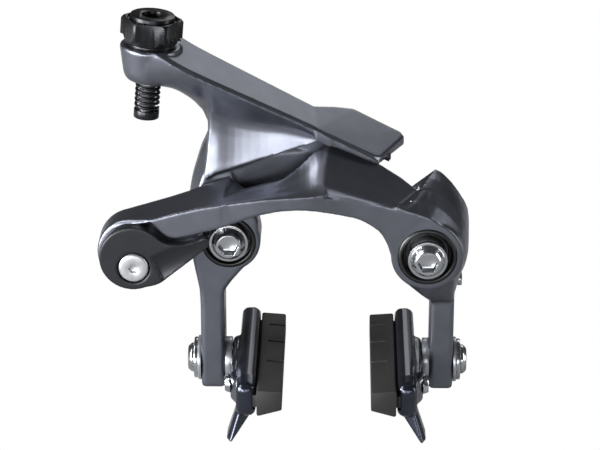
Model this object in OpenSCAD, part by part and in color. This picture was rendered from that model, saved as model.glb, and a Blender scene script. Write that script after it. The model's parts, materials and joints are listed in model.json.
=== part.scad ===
/* [Mounting] */
// Distance between the two mounting bolt axes
pivot_span = 56; // [54:0.5:58]
// Diameter of the mounting bolt shank
bolt_d = 6; // [5:0.5:6.5]
// How far the mounting bolts stand out behind the back plate
bolt_reach = 12; // [8:1:18]
// Diameter of the mounting bolt flange
flange_d = 11; // [10:0.5:12]
// Thickness of the mounting bolt flange
flange_t = 1.5; // [1:0.1:2]
// Diameter of the raised centre of the bolt head
head_d = 7.4; // [6.8:0.2:8.4]
// Height of the raised centre of the bolt head
head_h = 2.4; // [2:0.1:3.5]
// Width across flats of the bolt socket
socket_af = 5; // [4:0.5:5]

/* [Pivots] */
// Outer diameter of the pivot sleeves
sleeve_d = 9; // [8:0.25:9.5]
// Wall of the plastic bushes
bush_wall = 1; // [0.8:0.1:1.4]
// Radial running gap between sleeve and bush
run_gap = 0.05; // [0.02:0.01:0.08]
// Thickness of the back plate
plate_t = 2; // [1.5:0.25:3]
// Width of the arched band of the back plate
plate_band = 6; // [4:0.5:8]
// Rise of the arched band above the pivots
plate_rise = 11; // [9:0.5:12]
// Thickness of the thrust washers behind the arms
thrust_t = 1.8; // [1.5:0.1:2.5]
// Outer diameter of the black cover in the front arm
cover_right_d = 16.7; // [15.5:0.1:17]
// Outer diameter of the black cover in the rear arm
cover_left_d = 15.5; // [14.5:0.1:16]
// Depth of the covers
cover_h = 3.6; // [2.8:0.1:4.2]

/* [Arms] */
// Depth of the rear arm hub, front to back
rear_hub_depth = 13; // [11:0.5:14]
// Depth of the front arm hub, front to back
front_hub_depth = 22.7; // [21:0.5:24]
// Thickness of the front arm at its left lobe
lobe_t = 9; // [8:0.5:10]
// Radius of the left lobe
lobe_r = 10.2; // [9.5:0.1:11]
// Width of the two limbs that carry the brake shoes
limb_w = 7; // [6:0.5:8]
// Depth of the limbs, front to back
limb_depth = 12.4; // [11:0.2:13]
// Distance from the pivots down to the shoe bolts
reach = 39; // [37:0.5:41]
// Length of limb below the shoe bolts
limb_end = 7; // [6:0.5:8]
// Width of the slot that the shoe bolt clamps in
slot_w = 6.4; // [6.2:0.1:7]
// Height that the shoe bolt can be set over
slot_travel = 8; // [4:1:9]

/* [Cable parts] */
// Height of the quick release centre above the pivots
qr_z = 1.1; // [0:0.1:2]
// Sideways distance of the quick release centre from the middle
qr_x = 54.1; // [53:0.1:56]
// Offset of the cable anchor below the quick release centre
cam_offset = 2.75; // [2:0.05:3]
// Diameter of the quick release hub in the lobe
qr_hub_d = 14; // [13:0.5:15]
// Radius of the round end of the lever
lever_r = 9.3; // [8.8:0.1:9.6]
// Thickness of the lever
lever_t = 4.4; // [3.5:0.1:5]
// Diameter of the cable anchor bolt head
anchor_d = 8.3; // [7.5:0.1:8.5]
// Diameter of the cable anchor bolt shank
anchor_shank_d = 5; // [4:0.25:5.5]
// Tilt of the cable line from the vertical
cable_tilt = 4.75; // [4:0.05:5.5]
// Depth of the cable line in front of the mounting plane
cable_y = 15.5; // [15:0.1:16]
// Diameter of the brake cable that the parts take
cable_d = 1.6; // [1.2:0.1:2]
// Diameter of the barrel boss on the rear arm
boss_d = 17; // [16:0.5:18]
// Height of the barrel boss
boss_h = 10.4; // [9:0.2:12]
// Diameter of the barrel nut over its lobes
nut_d = 17.2; // [16.8:0.1:18]
// Height of the barrel nut skirt
nut_h = 5; // [4.5:0.25:6]
// Outer diameter of the barrel stem
stem_d = 4.4; // [4:0.1:4.6]
// Diameter of the socket for the cable housing
housing_d = 5.6; // [5.2:0.1:6]
// Wire diameter of the barrel spring
coil_wire = 0.9; // [0.8:0.05:0.95]
// Pitch of the barrel spring
coil_pitch = 1.44; // [1.4:0.02:1.6]
// Number of turns of the barrel spring
coil_turns = 5; // [4:1:6]

/* [Brake shoes] */
// Length of the shoe holders
holder_len = 54; // [50:1:56]
// Height of the shoe holders
holder_h = 11.4; // [10.5:0.1:12]
// Thickness of the shoe holders, from limb side to rim side
holder_t = 5.9; // [5.4:0.1:6.4]
// Length of the brake pads
pad_len = 53; // [48:1:55]
// Height of the brake pads at their back
pad_h = 8; // [7:0.25:9]
// Distance between the friction faces of the two pads
pad_gap = 25; // [23:0.5:28]
// Thickness of the pad that stands out of its holder
pad_proud = 7.2; // [6:0.2:8]
// Width of the grooves across the pads
groove_w = 1.1; // [0.8:0.1:1.5]
// Diameter of the shoe bolt shank
shoe_bolt_d = 6; // [5:0.25:6]
// Diameter of the shoe bolt head
shoe_head_d = 8.5; // [8:0.25:9.5]
// Diameter of the washers at the limbs
washer_d = 12.6; // [11.5:0.1:13.5]
// Thickness of the flat washers
flat_t = 0.9; // [0.7:0.1:1.2]
// Thickness of the dished washers
dish_t = 1.2; // [1:0.1:1.6]
// Diameter of the pad retaining screws
pad_screw_d = 3; // [2.5:0.1:3.5]

/* [Contact] */
// Radius of the contact roller
roller_r = 3.5; // [3:0.1:3.8]
// Width of the contact roller
roller_w = 5.6; // [5:0.1:6]
// Diameter of the roller pin
roller_pin_d = 3; // [2.6:0.1:3.2]
// Distance of the contact point from the middle of the pivots
contact_dist = 29; // [28.6:0.1:29.4]
// Direction of the contact point from the middle of the pivots, above the horizontal
contact_angle = 68; // [67:0.5:69]
// Gap between roller and contact plate with the brake open
contact_gap = 0.35; // [0.3:0.05:0.45]
// Angle that each arm swings through from open to closed
arm_travel = 5; // [3:0.5:5]

/* [Hidden] */

// Layers along Y, counted forwards from the mounting plane at Y = 0
pivot_x = pivot_span / 2;
seat_gap = 0.2;
hub_back = -(plate_t + thrust_t + seat_gap);
rear_front = hub_back - rear_hub_depth;
front_front = hub_back - front_hub_depth;
arm_gap = 1.7;
lobe_back = rear_front - arm_gap;
lobe_front = lobe_back - lobe_t;
band_step = 2.6;
band_front = lobe_front - band_step;
lever_gap = 0.15;
lever_back = lobe_front - lever_gap;
lever_front = lever_back - lever_t;
limb_back = hub_back - 0.6;
limb_front = limb_back - limb_depth;
shoe_y = (limb_front + limb_back) / 2;

// Fits and edges
press_gap = 0.02;
slip_gap = 0.1;
edge_r = 0.9;
through = 60;

// Pivots
bush_id = sleeve_d + 2 * run_gap;
bush_od = bush_id + 2 * bush_wall;
shank_relief = 0.6;
cover_gap = 0.1;
cover_lip = 0.3;
cover_floor = 1;
lock_washer_t = 1;
hub_r = 10.2;

// Quick release and cable line
anchor = [-qr_x + 0.23, qr_z - cam_offset];
boss_z = 48;
anchor_recess = 0.6;
clamp_t = 1.6;
nut_t = 4;

// Limbs and shoes
seat_washer_t = 2;
boss_out = 1.9;
pad_face = pad_gap / 2;
holder_face = pad_face + pad_proud;
holder_back = holder_face + holder_t;
limb_inner = holder_back + boss_out + seat_washer_t;
limb_x = limb_inner + limb_w / 2;
limb_outer = limb_inner + limb_w;
limb_bottom = -reach - limb_end;
holder_top = -reach + 5.5;
holder_y0 = -39.3;
pad_top = holder_top - 1.5;
pad_y0 = holder_y0 - 1.6;

// Contact between the arms
roller_at = (contact_dist - roller_r - contact_gap) * [cos(contact_angle), sin(contact_angle)];
roller_y = -11.5;
contact_plate_t = 1;
roller_past = [-3, 2];
// Where the roller stands on the rear arm when both arms have swung by an angle
function swung(p, at, turn) =
    at + [(p - at) * [cos(turn), sin(turn)], (p - at) * [-sin(turn), cos(turn)]];
roller_end = swung(swung(roller_at, [pivot_x, 0], arm_travel), [-pivot_x, 0], arm_travel);
roller_run = norm(roller_end - roller_at);
plate_tilt = atan2(roller_at.y - roller_end.y, roller_end.x - roller_at.x);

// Top face of the rear arm beam: height at a place, falling to the right and rising to the back
beam_x0 = -38.7;
beam_y0 = -24;
beam_z0 = 53.4;
beam_fall = 0.535;
beam_rise = 0.215;
function beam_z(x, y) = beam_z0 - beam_fall * (x - beam_x0) + beam_rise * (y - beam_y0);
// Top face of the paddle at the right end of the beam, which rises more to the back
paddle_tip = [14, -18.5, 26.4];
paddle_rise = 0.293;
function paddle_z(x, y) = paddle_tip.z - beam_fall * (x - paddle_tip.x) + paddle_rise * (y - paddle_tip.y);

// Outlines with rounded corners: each point is [x, z, corner radius]
function unit(v) = v / norm(v);
function turn_between(a, b) = b - a > 180 ? b - a - 360 : b - a < -180 ? b - a + 360 : b - a;
function corner_arc(a, b, c, r) =
    r == 0 ? [b] :
    let (u = unit(a - b), w = unit(c - b), half = acos(u * w) / 2)
    let (middle = b + unit(u + w) * r / sin(half))
    let (p = b + u * r / tan(half) - middle, q = b + w * r / tan(half) - middle)
    let (start = atan2(p.y, p.x), turn = turn_between(start, atan2(q.y, q.x)))
    let (steps = max(2, ceil(abs(turn) / 12)))
    [for (i = [0:steps]) middle + r * [cos(start + turn * i / steps), sin(start + turn * i / steps)]];
function flat(p) = [p[0], p[1]];
function rounded(pts) = [for (i = [0:len(pts) - 1])
    each corner_arc(flat(pts[(i + len(pts) - 1) % len(pts)]), flat(pts[i]),
        flat(pts[(i + 1) % len(pts)]), pts[i][2])];

// A flat piece standing in the XZ plane between two depths
module slab(front, back) {
    rotate([90, 0, 0])
        translate([0, 0, -back])
            linear_extrude(back - front)
                children();
}

// A round piece along Y between two depths
module rod(d, front, back, at = [0, 0], sides = 64) {
    translate([at[0], back, at[1]])
        rotate([90, 0, 0])
            cylinder(d = d, h = back - front, $fn = sides);
}

// A ring along Y
module ring(od, id, front, back, at = [0, 0]) {
    difference() {
        rod(od, front, back, at);
        rod(id, front - 1, back + 1, at);
    }
}

// A round piece along X, from one place to another
module cross_rod(d, x0, x1, y, z, sides = 48) {
    translate([min(x0, x1), y, z])
        rotate([0, 90, 0])
            cylinder(d = d, h = abs(x1 - x0), $fn = sides);
}

// A convex body with softened edges through the given corners
module blob(corners, r = edge_r) {
    hull()
        for (p = corners)
            translate(p)
                sphere(r = r, $fn = 8);
}

// Turned piece along Y: the profile is [radius, distance forwards] from the depth given
module turned(profile, depth, at = [0, 0], sides = 64) {
    translate([at[0], depth, at[1]])
        rotate([90, 0, 0])
            rotate_extrude($fn = sides)
                polygon(profile);
}

// Places a piece drawn along Z on the cable line, at a height above the pivots
module on_cable_line(z) {
    translate([anchor[0] + (z - anchor[1]) * tan(cable_tilt), -cable_y, z])
        rotate([0, cable_tilt, 0])
            children();
}

// Parts that stay with the frame

bolt_under = [rear_front + 0.4, front_front - 1.3];
sleeve_front = [bolt_under[0] + lock_washer_t, bolt_under[1] + lock_washer_t];
band_r = (pivot_x * pivot_x + plate_rise * plate_rise) / (2 * plate_rise);
plate_ring_d = 15;
spring_wire = 1.5;
spring_y = -plate_t - spring_wire / 2 - 0.2;
spring_stud_d = 3;
spring_end_z = -26;

module back_plate() {
    color("dimgray")
        difference() {
            union() {
                for (side = [-1, 1])
                    rod(plate_ring_d, -plate_t, 0, [side * pivot_x, 0]);
                intersection() {
                    difference() {
                        rod(2 * band_r + plate_band, -plate_t, 0, [0, plate_rise - band_r], 180);
                        rod(2 * band_r - plate_band, -plate_t - 1, 1, [0, plate_rise - band_r], 180);
                    }
                    translate([-pivot_x, -plate_t - 1, 0])
                        cube([pivot_span, plate_t + 2, plate_rise + plate_band]);
                }
                rod(spring_stud_d, -plate_t - spring_wire - 0.5, -0.5, [0, plate_rise]);
            }
            for (side = [-1, 1])
                rod(sleeve_d + 2 * press_gap, -through, through, [side * pivot_x, 0]);
        }
}

module pivot_sleeve(side, front) {
    color("silver")
        ring(sleeve_d, bolt_d + 0.3, front, 0, [side * pivot_x, 0]);
}

module mount_bolt(side, under) {
    at = [side * pivot_x, 0];
    color("gainsboro")
        difference() {
            union() {
                rod(bolt_d - shank_relief, under - flange_t / 2, 1, at);
                rod(bolt_d, 0, bolt_reach, at);
                rod(flange_d, under - flange_t, under, at);
                turned([[0, 0], [flange_d / 2 - 0.7, 0], [head_d / 2 + 0.3, head_h * 0.7],
                    [head_d / 2 - 0.3, head_h], [0, head_h]], under - flange_t, at);
            }
            rod(socket_af / cos(30), under - flange_t - head_h - 1, under - 0.6, at, 6);
        }
}

module bolt_washers() {
    color("slategray")
        for (i = [0, 1])
            ring(flange_d - 0.4, bolt_d + 0.4, bolt_under[i], sleeve_front[i], [(2 * i - 1) * pivot_x, 0]);
}

module thrust_washers() {
    color("black")
        for (side = [-1, 1])
            ring(plate_ring_d - 1, sleeve_d + 2 * slip_gap, -plate_t - thrust_t, -plate_t, [side * pivot_x, 0]);
}

// Wire swept along points: rings of equal sides, square to the run
function run_dir(p, i) = unit(p[min(i + 1, len(p) - 1)] - p[max(i - 1, 0)]);
function ring_points(c, dir, r, sides, side_dir) =
    let (u = unit(side_dir - dir * (side_dir * dir)), v = cross(dir, u))
    [for (k = [0:sides - 1]) c + r * (cos(360 * k / sides) * u + sin(360 * k / sides) * v)];
module wire(path, r, sides, side_dirs) {
    n = len(path);
    points = [for (i = [0:n - 1]) each ring_points(path[i], run_dir(path, i), r, sides, side_dirs[i])];
    quads = [for (i = [0:n - 2], k = [0:sides - 1])
        [i * sides + k, i * sides + (k + 1) % sides, (i + 1) * sides + (k + 1) % sides, (i + 1) * sides + k]];
    polyhedron(points, [for (q = quads) each [[q[0], q[1], q[2]], [q[0], q[2], q[3]]],
        [for (k = [sides - 1:-1:0]) k], [for (k = [0:sides - 1]) (n - 1) * sides + k]]);
}

// Smooth curve through points
function curve_at(p, i, t) =
    let (a = p[max(i - 1, 0)], b = p[i], c = p[i + 1], d = p[min(i + 2, len(p) - 1)])
    0.5 * (2 * b + (c - a) * t + (2 * a - 5 * b + 4 * c - d) * t * t + (3 * b - a - 3 * c + d) * t * t * t);
function smooth_curve(p, steps) =
    [for (i = [0:len(p) - 2], s = [0:steps - 1]) curve_at(p, i, s / steps), p[len(p) - 1]];

spring_peak = plate_rise + (spring_stud_d + spring_wire) / 2 + 0.15;
spring_side = [[10, spring_peak - 0.6], [20, spring_peak - 2.6], [pivot_x, 8.6], [pivot_x + 6.4, 5.6],
    [pivot_x + 8.4, -1], [limb_x + 2.2, -12], [limb_x, -20], [limb_x, -22.5], [limb_x, spring_end_z]];
spring_route = concat(
    [for (i = [len(spring_side) - 1:-1:0]) [-spring_side[i].x, spring_y, spring_side[i].y]],
    [[0, spring_y, spring_peak]],
    [for (p = spring_side) [p.x, spring_y, p.y]]);

module return_spring() {
    path = smooth_curve(spring_route, 3);
    color("silver")
        wire(path, spring_wire / 2, 8, [for (p = path) [0, 1, 0]]);
}

// Parts that both arms share

module bush(side, front) {
    color("dimgray")
        ring(bush_od, bush_id, front, hub_back, [side * pivot_x, 0]);
}

module cover(side, d, front) {
    at = [side * pivot_x, 0];
    color("black")
        turned([[bush_od / 2 + 0.3, 0], [d / 2 - cover_gap, 0], [d / 2 - cover_gap, cover_h],
            [d / 2 - 0.6, cover_h + cover_lip], [d / 2 - 1.1, cover_h + cover_lip],
            [bush_od / 2 + 1.2, cover_floor], [bush_od / 2 + 0.3, cover_floor]], front + cover_h, at);
}

// Slot across a limb for its shoe bolt
module limb_slot(x) {
    half = slot_travel / 2;
    for (z = [-reach - half, -reach + half])
        cross_rod(slot_w, x - limb_w, x + limb_w, shoe_y, z);
    translate([x - limb_w, shoe_y - slot_w / 2, -reach - half])
        cube([2 * limb_w, slot_w, slot_travel]);
}

seat_w = 5;
seat_h = 7;
seat_peg_d = 2.4;
seat_peg_depth = 2;
seat_wall = 1.2;
seat_z = spring_end_z + 1.5;
module spring_seat(side) {
    x = side * limb_x;
    color("black")
        difference() {
            union() {
                translate([x - seat_w / 2, limb_back, seat_z - seat_h / 2])
                    cube([seat_w, spring_y + seat_wall - limb_back, seat_h]);
                rod(seat_peg_d, limb_back - seat_peg_depth, limb_back + 0.5, [x, seat_z], 32);
            }
            translate([x, spring_y, spring_end_z - seat_gap])
                cylinder(d = spring_wire + 6 * slip_gap, h = seat_h, $fn = 24);
        }
}

// Bore for the peg of a spring seat in the back of a limb
module seat_bore(side) {
    rod(seat_peg_d + 2 * press_gap, limb_back - seat_peg_depth, limb_back + 1, [side * limb_x, seat_z], 32);
}

// Front arm: lobe, arch over the tyre, tower, shoulder and right limb

limb_blend_z = -17;
module shoulder() {
    hull() {
        rod(2 * hub_r, front_front, hub_back, [pivot_x, 0], 32);
        slab(front_front, front_front + 1)
            polygon([for (p = [[-8.2, 13.6], [0.5, 11.6], [5.4, 8.6], [8.4, 4.4], [9.7, -1.2]]) [pivot_x + p.x, p.y]]);
        slab(-12, hub_back)
            polygon([for (p = [[-1.8, 16.6], [2.2, 18.4], [6.6, 16.4], [10.2, 11.6], [12.4, 6], [12.4, 0.6],
                [11.4, -5], [9.6, -11]]) [pivot_x + p.x, p.y]]);
        translate([limb_inner, limb_front, limb_blend_z])
            cube([limb_w, limb_depth, 1]);
    }
}

module tower() {
    blob([[-0.6, band_front + 2.6, 19.2], [-0.5, -16.2, 28.9], [-12.4, -23.6, 20.9], [-24, -24.6, 17.6],
        [18.2, front_front + 1.4, 14.4], [24.3, -18.8, 17], [14.5, -16.6, 22.9],
        [3.5, -13.4, 26], [13, -13.4, 21.6], [22, -12, 14],
        [-4, lobe_back - 1, 15.5], [3.5, -9.5, 16], [16, -9.5, 9], [-24, lobe_back - 1, 16]]);
}

// Two cheeks that hold the roller pin
cheek_front = roller_y - 5.2;
cheek_back = roller_y + 5.2;
cheek_wall = 1.3;
slot_half = roller_w / 2 + slip_gap;
module roller_cheeks() {
    rod(roller_pin_d + 2 * cheek_wall, cheek_front, cheek_back, roller_at);
    slab(cheek_front, cheek_back)
        polygon([[roller_at.x - 2.6, roller_at.y], [roller_at.x + 2.6, roller_at.y],
            [roller_at.x + 5, 10], [roller_at.x - 5, 13]]);
    slab(roller_y + slot_half + 0.8, cheek_back)
        polygon([[1.8, 27.4], [4.6, 26.6], [roller_at.x, roller_at.y + 2.4], [roller_at.x + 5, 10], [2.2, 13]]);
}

module left_band() {
    blob([[-43.6, band_front + 1, 7.5], [-48.6, band_front + 1, 11], [-49, lobe_back - 1, 11.9],
        [-45, lobe_back - 1, 6.6], [-24, band_front + 1.3, 12.3], [-24, band_front + 1, 16.4],
        [-27, lobe_back - 1, 19.9], [-24, lobe_back - 1, 11.4]]);
    blob([[-24, band_front + 1.3, 12.3], [-24, band_front + 1, 16.4], [-25, lobe_back - 1, 18],
        [-24, lobe_back - 1, 11.4], [-4, band_front + 2.2, 14.6], [-0.8, band_front + 2, 18.2],
        [-2, lobe_back - 1, 20], [-4, lobe_back - 1, 15.4]]);
}

module arch() {
    slab(front_front - 0.4, lobe_back)
        polygon(rounded([[-14, 14.6, 0], [-4, 13.5, 30], [9.2, 11.7, 12], [16.4, 5, 12], [19, -3, 0],
            [pivot_x, -6, 0], [pivot_x + 1, 11, 0], [20, 13.8, 3], [6.2, 16.8, 20], [-8, 19, 0], [-14, 18, 0]]));
}

module lobe_tail() {
    slab(lobe_front, lobe_back)
        polygon(rounded([[-59, 9, 0], [-50, 12.2, 8], [-42, 14, 0], [-34, 12, 0], [-34.5, 7.4, 0],
            [-38.6, 1.2, 3], [-47, -5.6, 6], [-52, -8.6, 0]]));
}

module front_arm() {
    color("#5a5d63")
        difference() {
            union() {
                rod(2 * lobe_r, lobe_front, lobe_back, [-qr_x, qr_z], 96);
                lobe_tail();
                left_band();
                arch();
                tower();
                roller_cheeks();
                shoulder();
                slab(limb_front, limb_back)
                    polygon(rounded([[limb_inner, -8, 0], [limb_inner, limb_bottom, 1.5],
                        [limb_outer, limb_bottom, 1.5], [limb_outer, -8, 0]]));
            }
            rod(bush_od + 2 * press_gap, -through, through, [pivot_x, 0]);
            rod(cover_right_d, -through, front_front + cover_h, [pivot_x, 0], 96);
            rod(qr_hub_d + 2 * run_gap, -through, through, [-qr_x, qr_z], 96);
            rod(roller_pin_d + 2 * press_gap, cheek_front + 0.4, through, roller_at);
            roller_slot();
            limb_slot(limb_x);
            cross_rod(screw_d, limb_x, limb_outer + 5, screw_y, screw_z);
            cross_rod(screw_head_d + 0.6, limb_outer + 0.6, limb_outer + 5, screw_y, screw_z);
            seat_bore(1);
            rod(hook_d + 2 * press_gap, hook_y - 3, through, hook_at, 24);
        }
}

// Slot between the cheeks, open to the top, for the roller and the contact plate
module roller_slot() {
    rod(2 * roller_r + 1, roller_y - slot_half, roller_y + slot_half, roller_at);
    translate([roller_at.x - 12, roller_y - slot_half - 0.6, roller_at.y])
        cube([24, 2 * slot_half + 1.2, 30]);
}

screw_d = 3;
screw_head_d = 4;
screw_y = -8;
screw_z = -14.6;
hook_d = 1.3;
hook_y = -17.6;
hook_at = [pivot_x - 2.7, 17];

module roller_pin() {
    color("silver")
        rod(roller_pin_d, cheek_front + 0.5, cheek_back, roller_at);
}

module contact_roller() {
    color("gainsboro")
        ring(2 * roller_r, roller_pin_d + 2 * run_gap, roller_y - roller_w / 2, roller_y + roller_w / 2, roller_at);
}

module centering_screw() {
    color("gainsboro") {
        cross_rod(screw_d - 2 * press_gap, limb_x + 0.5, limb_outer + 1, screw_y, screw_z);
        cross_rod(screw_head_d, limb_outer + 0.6, limb_outer + 2.2, screw_y, screw_z);
    }
}

module hook_pin() {
    color("gainsboro")
        rod(hook_d, hook_y - 2, hook_y + 1, hook_at, 24);
}

// Rear arm: barrel boss, beam, web, hub and left limb

web_front = rear_front - 1;
web_back = -7;
pocket_front = -13.2;
paddle_t = 2;

module rear_hub_and_limb() {
    slab(rear_front, hub_back)
        polygon(rounded([[-33, 44, 0], [-34.5, 32, 12], [-39.2, 16, 10], [-38.8, -5, 12], [-limb_outer, -16, 5],
            [-limb_outer, limb_blend_z, 0], [-limb_inner, limb_blend_z, 0], [-limb_inner, -15, 3],
            [-pivot_x + 7.6, -3.4, 8], [-pivot_x + 8.4, 12, 0], [-pivot_x + 8.4, 44, 0]]));
    slab(limb_front, limb_back)
        polygon(rounded([[-limb_outer, -12, 0], [-limb_outer, limb_bottom, 1.5],
            [-limb_inner, limb_bottom, 1.5], [-limb_inner, -12, 0]]));
}

module rear_web() {
    slab(web_front, web_back)
        polygon([[-33, 42], [-34.5, 32], [-38.6, 19.4], [-37.6, 18.2], [-34.5, 18.8], [-2.2, 30.6], [-2.2, 34]]);
    slab(pocket_front, web_back)
        polygon([[-33, 38], [-24, 10], [-19.6, 9.6], [-12, 17], [-3, 24.6], [0.8, 27.2], [0.8, 32.6], [-4, 34]]);
}

module beam() {
    hull() {
        for (p = [[-46, beam_y0 + 1.8], [-43, -8.2], [-4.5, -8.8], [-2.5, -19.4]])
            translate([p.x, p.y, beam_z(p.x, p.y) - edge_r])
                sphere(r = edge_r, $fn = 8);
        for (p = [[-46, beam_y0 + 3, 50.6], [-35.5, -20.4, 43.6], [-34, -9.5, 44], [-2.5, -18.2, 33], [-4, -9.5, 34.4]])
            translate(p)
                sphere(r = edge_r, $fn = 8);
    }
}

module paddle() {
    edge = [[-4, -9.2], [6.8, -1.4], [20.2, -1.2], [21.2, -2.2], [14.2, -17.1], [13, -17.8], [-3, -19.4]];
    hull()
        for (p = edge, drop = [edge_r, paddle_t - edge_r])
            translate([p.x, p.y, paddle_z(p.x, p.y) - drop])
                sphere(r = edge_r, $fn = 8);
}

// Places a piece drawn along the contact plate, with the roller's rest place below its origin
module on_contact() {
    translate([roller_at.x, roller_y, roller_at.y])
        rotate([0, plate_tilt, 0])
            translate([0, 0, roller_r + contact_gap])
                children();
}

// Block under the paddle that holds the contact plate
plate_w = roller_w + 1.2;
module contact_block() {
    on_contact()
        translate([roller_past[0] - 1, -plate_w / 2, contact_plate_t - 0.4])
            cube([roller_run + roller_past[1] - roller_past[0] + 1, plate_w, 1.4]);
    on_contact()
        translate([roller_run + roller_past[1] + press_gap, -plate_w / 2, 0.1])
            cube([0.9, plate_w, contact_plate_t + 0.9]);
}

// Seat for the contact plate, open below
module contact_seat() {
    on_contact()
        translate([roller_past[0], -plate_w / 2 - press_gap, -3])
            cube([roller_run + roller_past[1] - roller_past[0], plate_w + 2 * press_gap, contact_plate_t + 3]);
}

// Boss of the barrel adjuster, narrower towards its rounded foot
boss_taper = 1.4;
module barrel_boss() {
    on_cable_line(boss_z)
        rotate_extrude($fn = 96)
            polygon([[0, 0], [boss_d / 2 - boss_taper - 2.4, 0], [boss_d / 2 - boss_taper - 0.9, 0.7],
                [boss_d / 2 - boss_taper, 2.4], [boss_d / 2, boss_h - 0.5], [boss_d / 2 - 0.4, boss_h], [0, boss_h]]);
}

module rear_arm() {
    color("#5a5d63")
        difference() {
            union() {
                rear_hub_and_limb();
                rear_web();
                beam();
                paddle();
                contact_block();
                barrel_boss();
            }
            rod(bush_od + 2 * press_gap, -through, through, [-pivot_x, 0]);
            rod(cover_left_d, -through, rear_front + cover_h, [-pivot_x, 0], 96);
            on_cable_line(boss_z - 20)
                cylinder(d = stem_d + 2 * slip_gap, h = 60, $fn = 48);
            on_cable_line(boss_z + boss_h)
                cylinder(d = nut_d + 1.6, h = 20, $fn = 96);
            limb_slot(-limb_x);
            seat_bore(-1);
            contact_seat();
        }
}

module contact_plate() {
    color("silver")
        on_contact()
            translate([roller_past[0], -plate_w / 2, 0])
                cube([roller_run + roller_past[1] - roller_past[0], plate_w, contact_plate_t]);
}

// Quick release and cable anchor

module quick_release_lever() {
    color("#3a3c42")
        difference() {
            union() {
                rod(2 * lever_r, lever_front, lever_back, [-qr_x, qr_z], 96);
                rod(qr_hub_d, lever_back - 1, lobe_back + 0.15, [-qr_x, qr_z], 96);
                slab(lever_front, lever_back)
                    polygon(rounded([[-qr_x, qr_z + lever_r, 0], [-50.4, 9.6, 5], [-44.6, 5.4, 6], [-38.4, 5.3, 12],
                        [-32.6, 8, 1.2], [-32.8, 4.6, 1.5], [-38.1, 0.2, 4], [-47, -6.8, 9], [-qr_x, qr_z - lever_r, 0]]));
            }
            rod(anchor_shank_d + 2 * slip_gap, -through, through, anchor);
            rod(anchor_d + 0.7, -through, lever_front + anchor_recess + 0.8, anchor);
            translate([-50, lever_front - 9.2, -3.4])
                rotate([0, 65, 0])
                    translate([0, 0, 3])
                        cylinder(r = 10.2, h = 17, $fn = 96);
        }
}

module anchor_bolt() {
    head_back = lever_front + anchor_recess + 0.8;
    color("gainsboro")
        difference() {
            union() {
                rod(anchor_shank_d, head_back - 0.5, lobe_back + clamp_t + nut_t + 2.4, anchor);
                turned([[0, 0], [anchor_d / 2, 0], [anchor_d / 2, 1.2], [anchor_d / 2 - 0.4, 1.6], [0, 1.7]],
                    head_back, anchor);
            }
            rod(2.8, -through, head_back - 0.7, anchor, 6);
        }
}

module clamp_washer() {
    front = lobe_back + 0.15;
    color("silver")
        difference() {
            ring(12, anchor_shank_d + 2 * slip_gap, front, front + clamp_t + 0.6, anchor);
            translate([anchor.x - anchor_shank_d / 2 - cable_d - 0.3, front + clamp_t - 0.3, anchor.y])
                rotate([0, cable_tilt, 0])
                    translate([0, 0, -10])
                        cube([cable_d, 2, 20]);
        }
}

module anchor_nut() {
    front = lobe_back + 0.15 + clamp_t + 0.6;
    color("silver")
        difference() {
            rod(8 / cos(30), front, front + nut_t, anchor, 6);
            rod(anchor_shank_d + 2 * press_gap, front - 1, front + nut_t + 1, anchor);
        }
}

// Barrel adjuster on the cable line

nut_z = boss_z + boss_h + 0.1;
nut_cone = 2.5;
collar_d = 7.1;
collar_h = 2.4;
coil_d = 7.1;
coil_top = boss_z - 0.15;
collar_top = coil_top - coil_turns * coil_pitch - coil_wire - 0.15;
detent_t = 0.8;
lobes = 6;
hollow_r = 14;
hollow_depth = 1.55;
neck_d = 12.2;
neck_h = 0.9;
nut_chamfer = 0.6;
nut_groove = 0.8;
stem_top = nut_z + nut_cone + nut_h - 1.2;

module barrel_nut() {
    color("#1c1d20")
        on_cable_line(nut_z + detent_t)
            difference() {
                union() {
                    cylinder(d1 = 14.4, d2 = nut_d - 1.6, h = nut_cone - detent_t, $fn = 96);
                    translate([0, 0, nut_cone - detent_t])
                        cylinder(d = nut_d, h = nut_h - nut_chamfer, $fn = 96);
                    translate([0, 0, nut_cone - detent_t + nut_h - nut_chamfer])
                        cylinder(d1 = nut_d, d2 = nut_d - 2 * nut_chamfer, h = nut_chamfer, $fn = 96);
                    translate([0, 0, nut_cone - detent_t + nut_h - nut_groove])
                        cylinder(d = neck_d, h = nut_groove + neck_h, $fn = 96);
                }
                translate([0, 0, nut_cone - detent_t + nut_h - nut_groove])
                    difference() {
                        cylinder(d = neck_d + 2 * nut_groove, h = 5, $fn = 96);
                        translate([0, 0, -1])
                            cylinder(d = neck_d, h = 10, $fn = 96);
                    }
                for (i = [0:lobes - 1])
                    rotate([0, 0, 360 * (i + 0.5) / lobes])
                        translate([nut_d / 2 + hollow_r - hollow_depth, 0, -1])
                            cylinder(r = hollow_r, h = 20, $fn = 96);
                translate([0, 0, -1])
                    cylinder(d = stem_d + 2 * slip_gap, h = 20, $fn = 48);
                translate([0, 0, stem_top - nut_z - detent_t])
                    cylinder(d = housing_d + 0.4, h = 10, $fn = 48);
            }
}

module barrel_stem() {
    color("silver")
        on_cable_line(collar_top - collar_h)
            difference() {
                cylinder(d = stem_d, h = stem_top - collar_top + collar_h, $fn = 48);
                translate([0, 0, -1])
                    cylinder(d = cable_d + 0.6, h = 60, $fn = 32);
            }
}

module barrel_collar() {
    color("#1c1d20")
        on_cable_line(collar_top - collar_h)
            difference() {
                cylinder(d = collar_d, h = collar_h, $fn = 64);
                translate([0, 0, -1])
                    cylinder(d = stem_d + 2 * press_gap, h = 10, $fn = 48);
            }
}

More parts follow.
